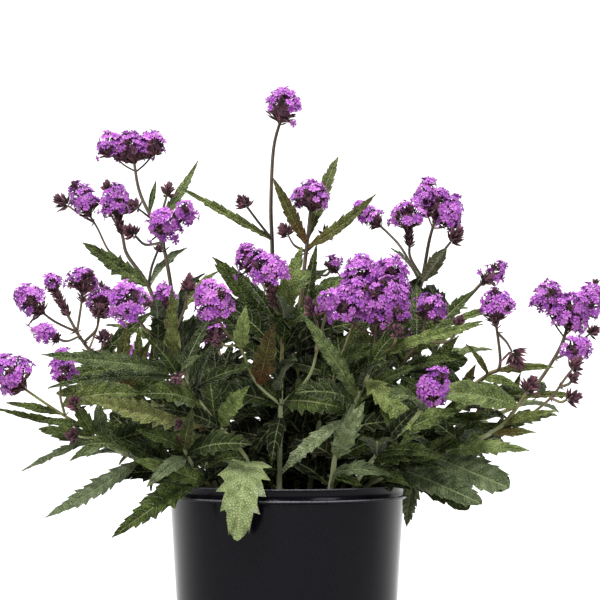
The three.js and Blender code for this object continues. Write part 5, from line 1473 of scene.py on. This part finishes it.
class VERBENA_OT_stage(bpy.types.Operator):
    """Lay the pale floor and set the soft lights and the camera"""
    bl_idname = "scene.verbena_stage"
    bl_label = "Stage"

    def execute(self, context):
        scene = context.scene
        sizes = scene.verbena_sizes
        # A floor that sweeps up into a backdrop behind the pot, in metres.
        profile = [(-6, 0), (2.5, 0)]
        profile += [(2.5 + 1.5 * math.sin(a), 1.5 - 1.5 * math.cos(a))
                    for a in np.radians(np.arange(5, 91, 5))]
        profile += [(4, 6)]
        mesh = bpy.data.meshes.new("floor_sweep")
        points = [(x, y, z) for y, z in profile for x in (-6, 6)]
        faces = [(2 * i, 2 * i + 1, 2 * i + 3, 2 * i + 2) for i in range(len(profile) - 1)]
        mesh.from_pydata(points, [], faces)
        mesh.shade_smooth()
        mesh.materials.append(new_material("matt_painted_floor_white", backdrop))
        floor = bpy.data.objects.new("floor_sweep", mesh)
        scene.collection.objects.link(floor)

        world = bpy.data.worlds.new("studio")
        world.use_nodes = True
        world.node_tree.nodes.clear()
        node = partial(add_node, world.node_tree)
        strength = node("MapRange", (node("LightPath", output="Is Camera Ray"), 0, 1, 0.1, 1))
        node("OutputWorld", {"Surface": node("Background", {"Color": (1, 1, 1, 1), "Strength": strength})})
        scene.world = world
        for name, place, size, power in LIGHTS:
            light = bpy.data.lights.new(name, "AREA")
            light.shape, light.size, light.energy = "SQUARE", size, power
            lamp = bpy.data.objects.new(name, light)
            lamp.location = place
            aim = Vector(LIT_PLACE) - lamp.location
            lamp.rotation_euler = aim.to_track_quat("-Z", "Y").to_euler()
            scene.collection.objects.link(lamp)

        camera = bpy.data.cameras.new("camera")
        camera.sensor_width = SENSOR
        camera.lens = SENSOR * sizes.camera_distance / sizes.view_width
        viewer = bpy.data.objects.new("camera", camera)
        viewer.location = (VIEW_X * MM, -sizes.camera_distance, VIEW_Z * MM)
        viewer.rotation_euler = (math.pi / 2, 0, 0)
        scene.collection.objects.link(viewer)
        scene.camera = viewer
        scene.view_settings.view_transform = "Standard"
        return {"FINISHED"}


class VERBENA_PT_panel(bpy.types.Panel):
    """Sizes, colours and steps of the potted verbena"""
    bl_idname = "VERBENA_PT_panel"
    bl_label = "Verbena"
    bl_space_type = "VIEW_3D"
    bl_region_type = "UI"
    bl_category = "Verbena"

    def draw(self, context):
        for group in (context.scene.verbena_sizes, context.scene.verbena_colours):
            for name in group.bl_rna.properties.keys():
                if name not in ("rna_type", "name"):
                    self.layout.prop(group, name)
        for operator in OPERATORS:
            self.layout.operator(operator.bl_idname)


OPERATORS = (VERBENA_OT_pot, VERBENA_OT_compost, VERBENA_OT_stems, VERBENA_OT_heads, VERBENA_OT_stage)
CLASSES = (VerbenaSizes, VerbenaColours, *OPERATORS, VERBENA_PT_panel)


def register():
    for kind in CLASSES:
        bpy.utils.register_class(kind)
    bpy.types.Scene.verbena_sizes = bpy.props.PointerProperty(type=VerbenaSizes)
    bpy.types.Scene.verbena_colours = bpy.props.PointerProperty(type=VerbenaColours)


def unregister():
    del bpy.types.Scene.verbena_sizes
    del bpy.types.Scene.verbena_colours
    for kind in reversed(CLASSES):
        bpy.utils.unregister_class(kind)


def main():
    register()
    for operator in OPERATORS:
        group, name = operator.bl_idname.split(".")
        getattr(getattr(bpy.ops, group), name)()
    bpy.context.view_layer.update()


if __name__ == "__main__":
    main()
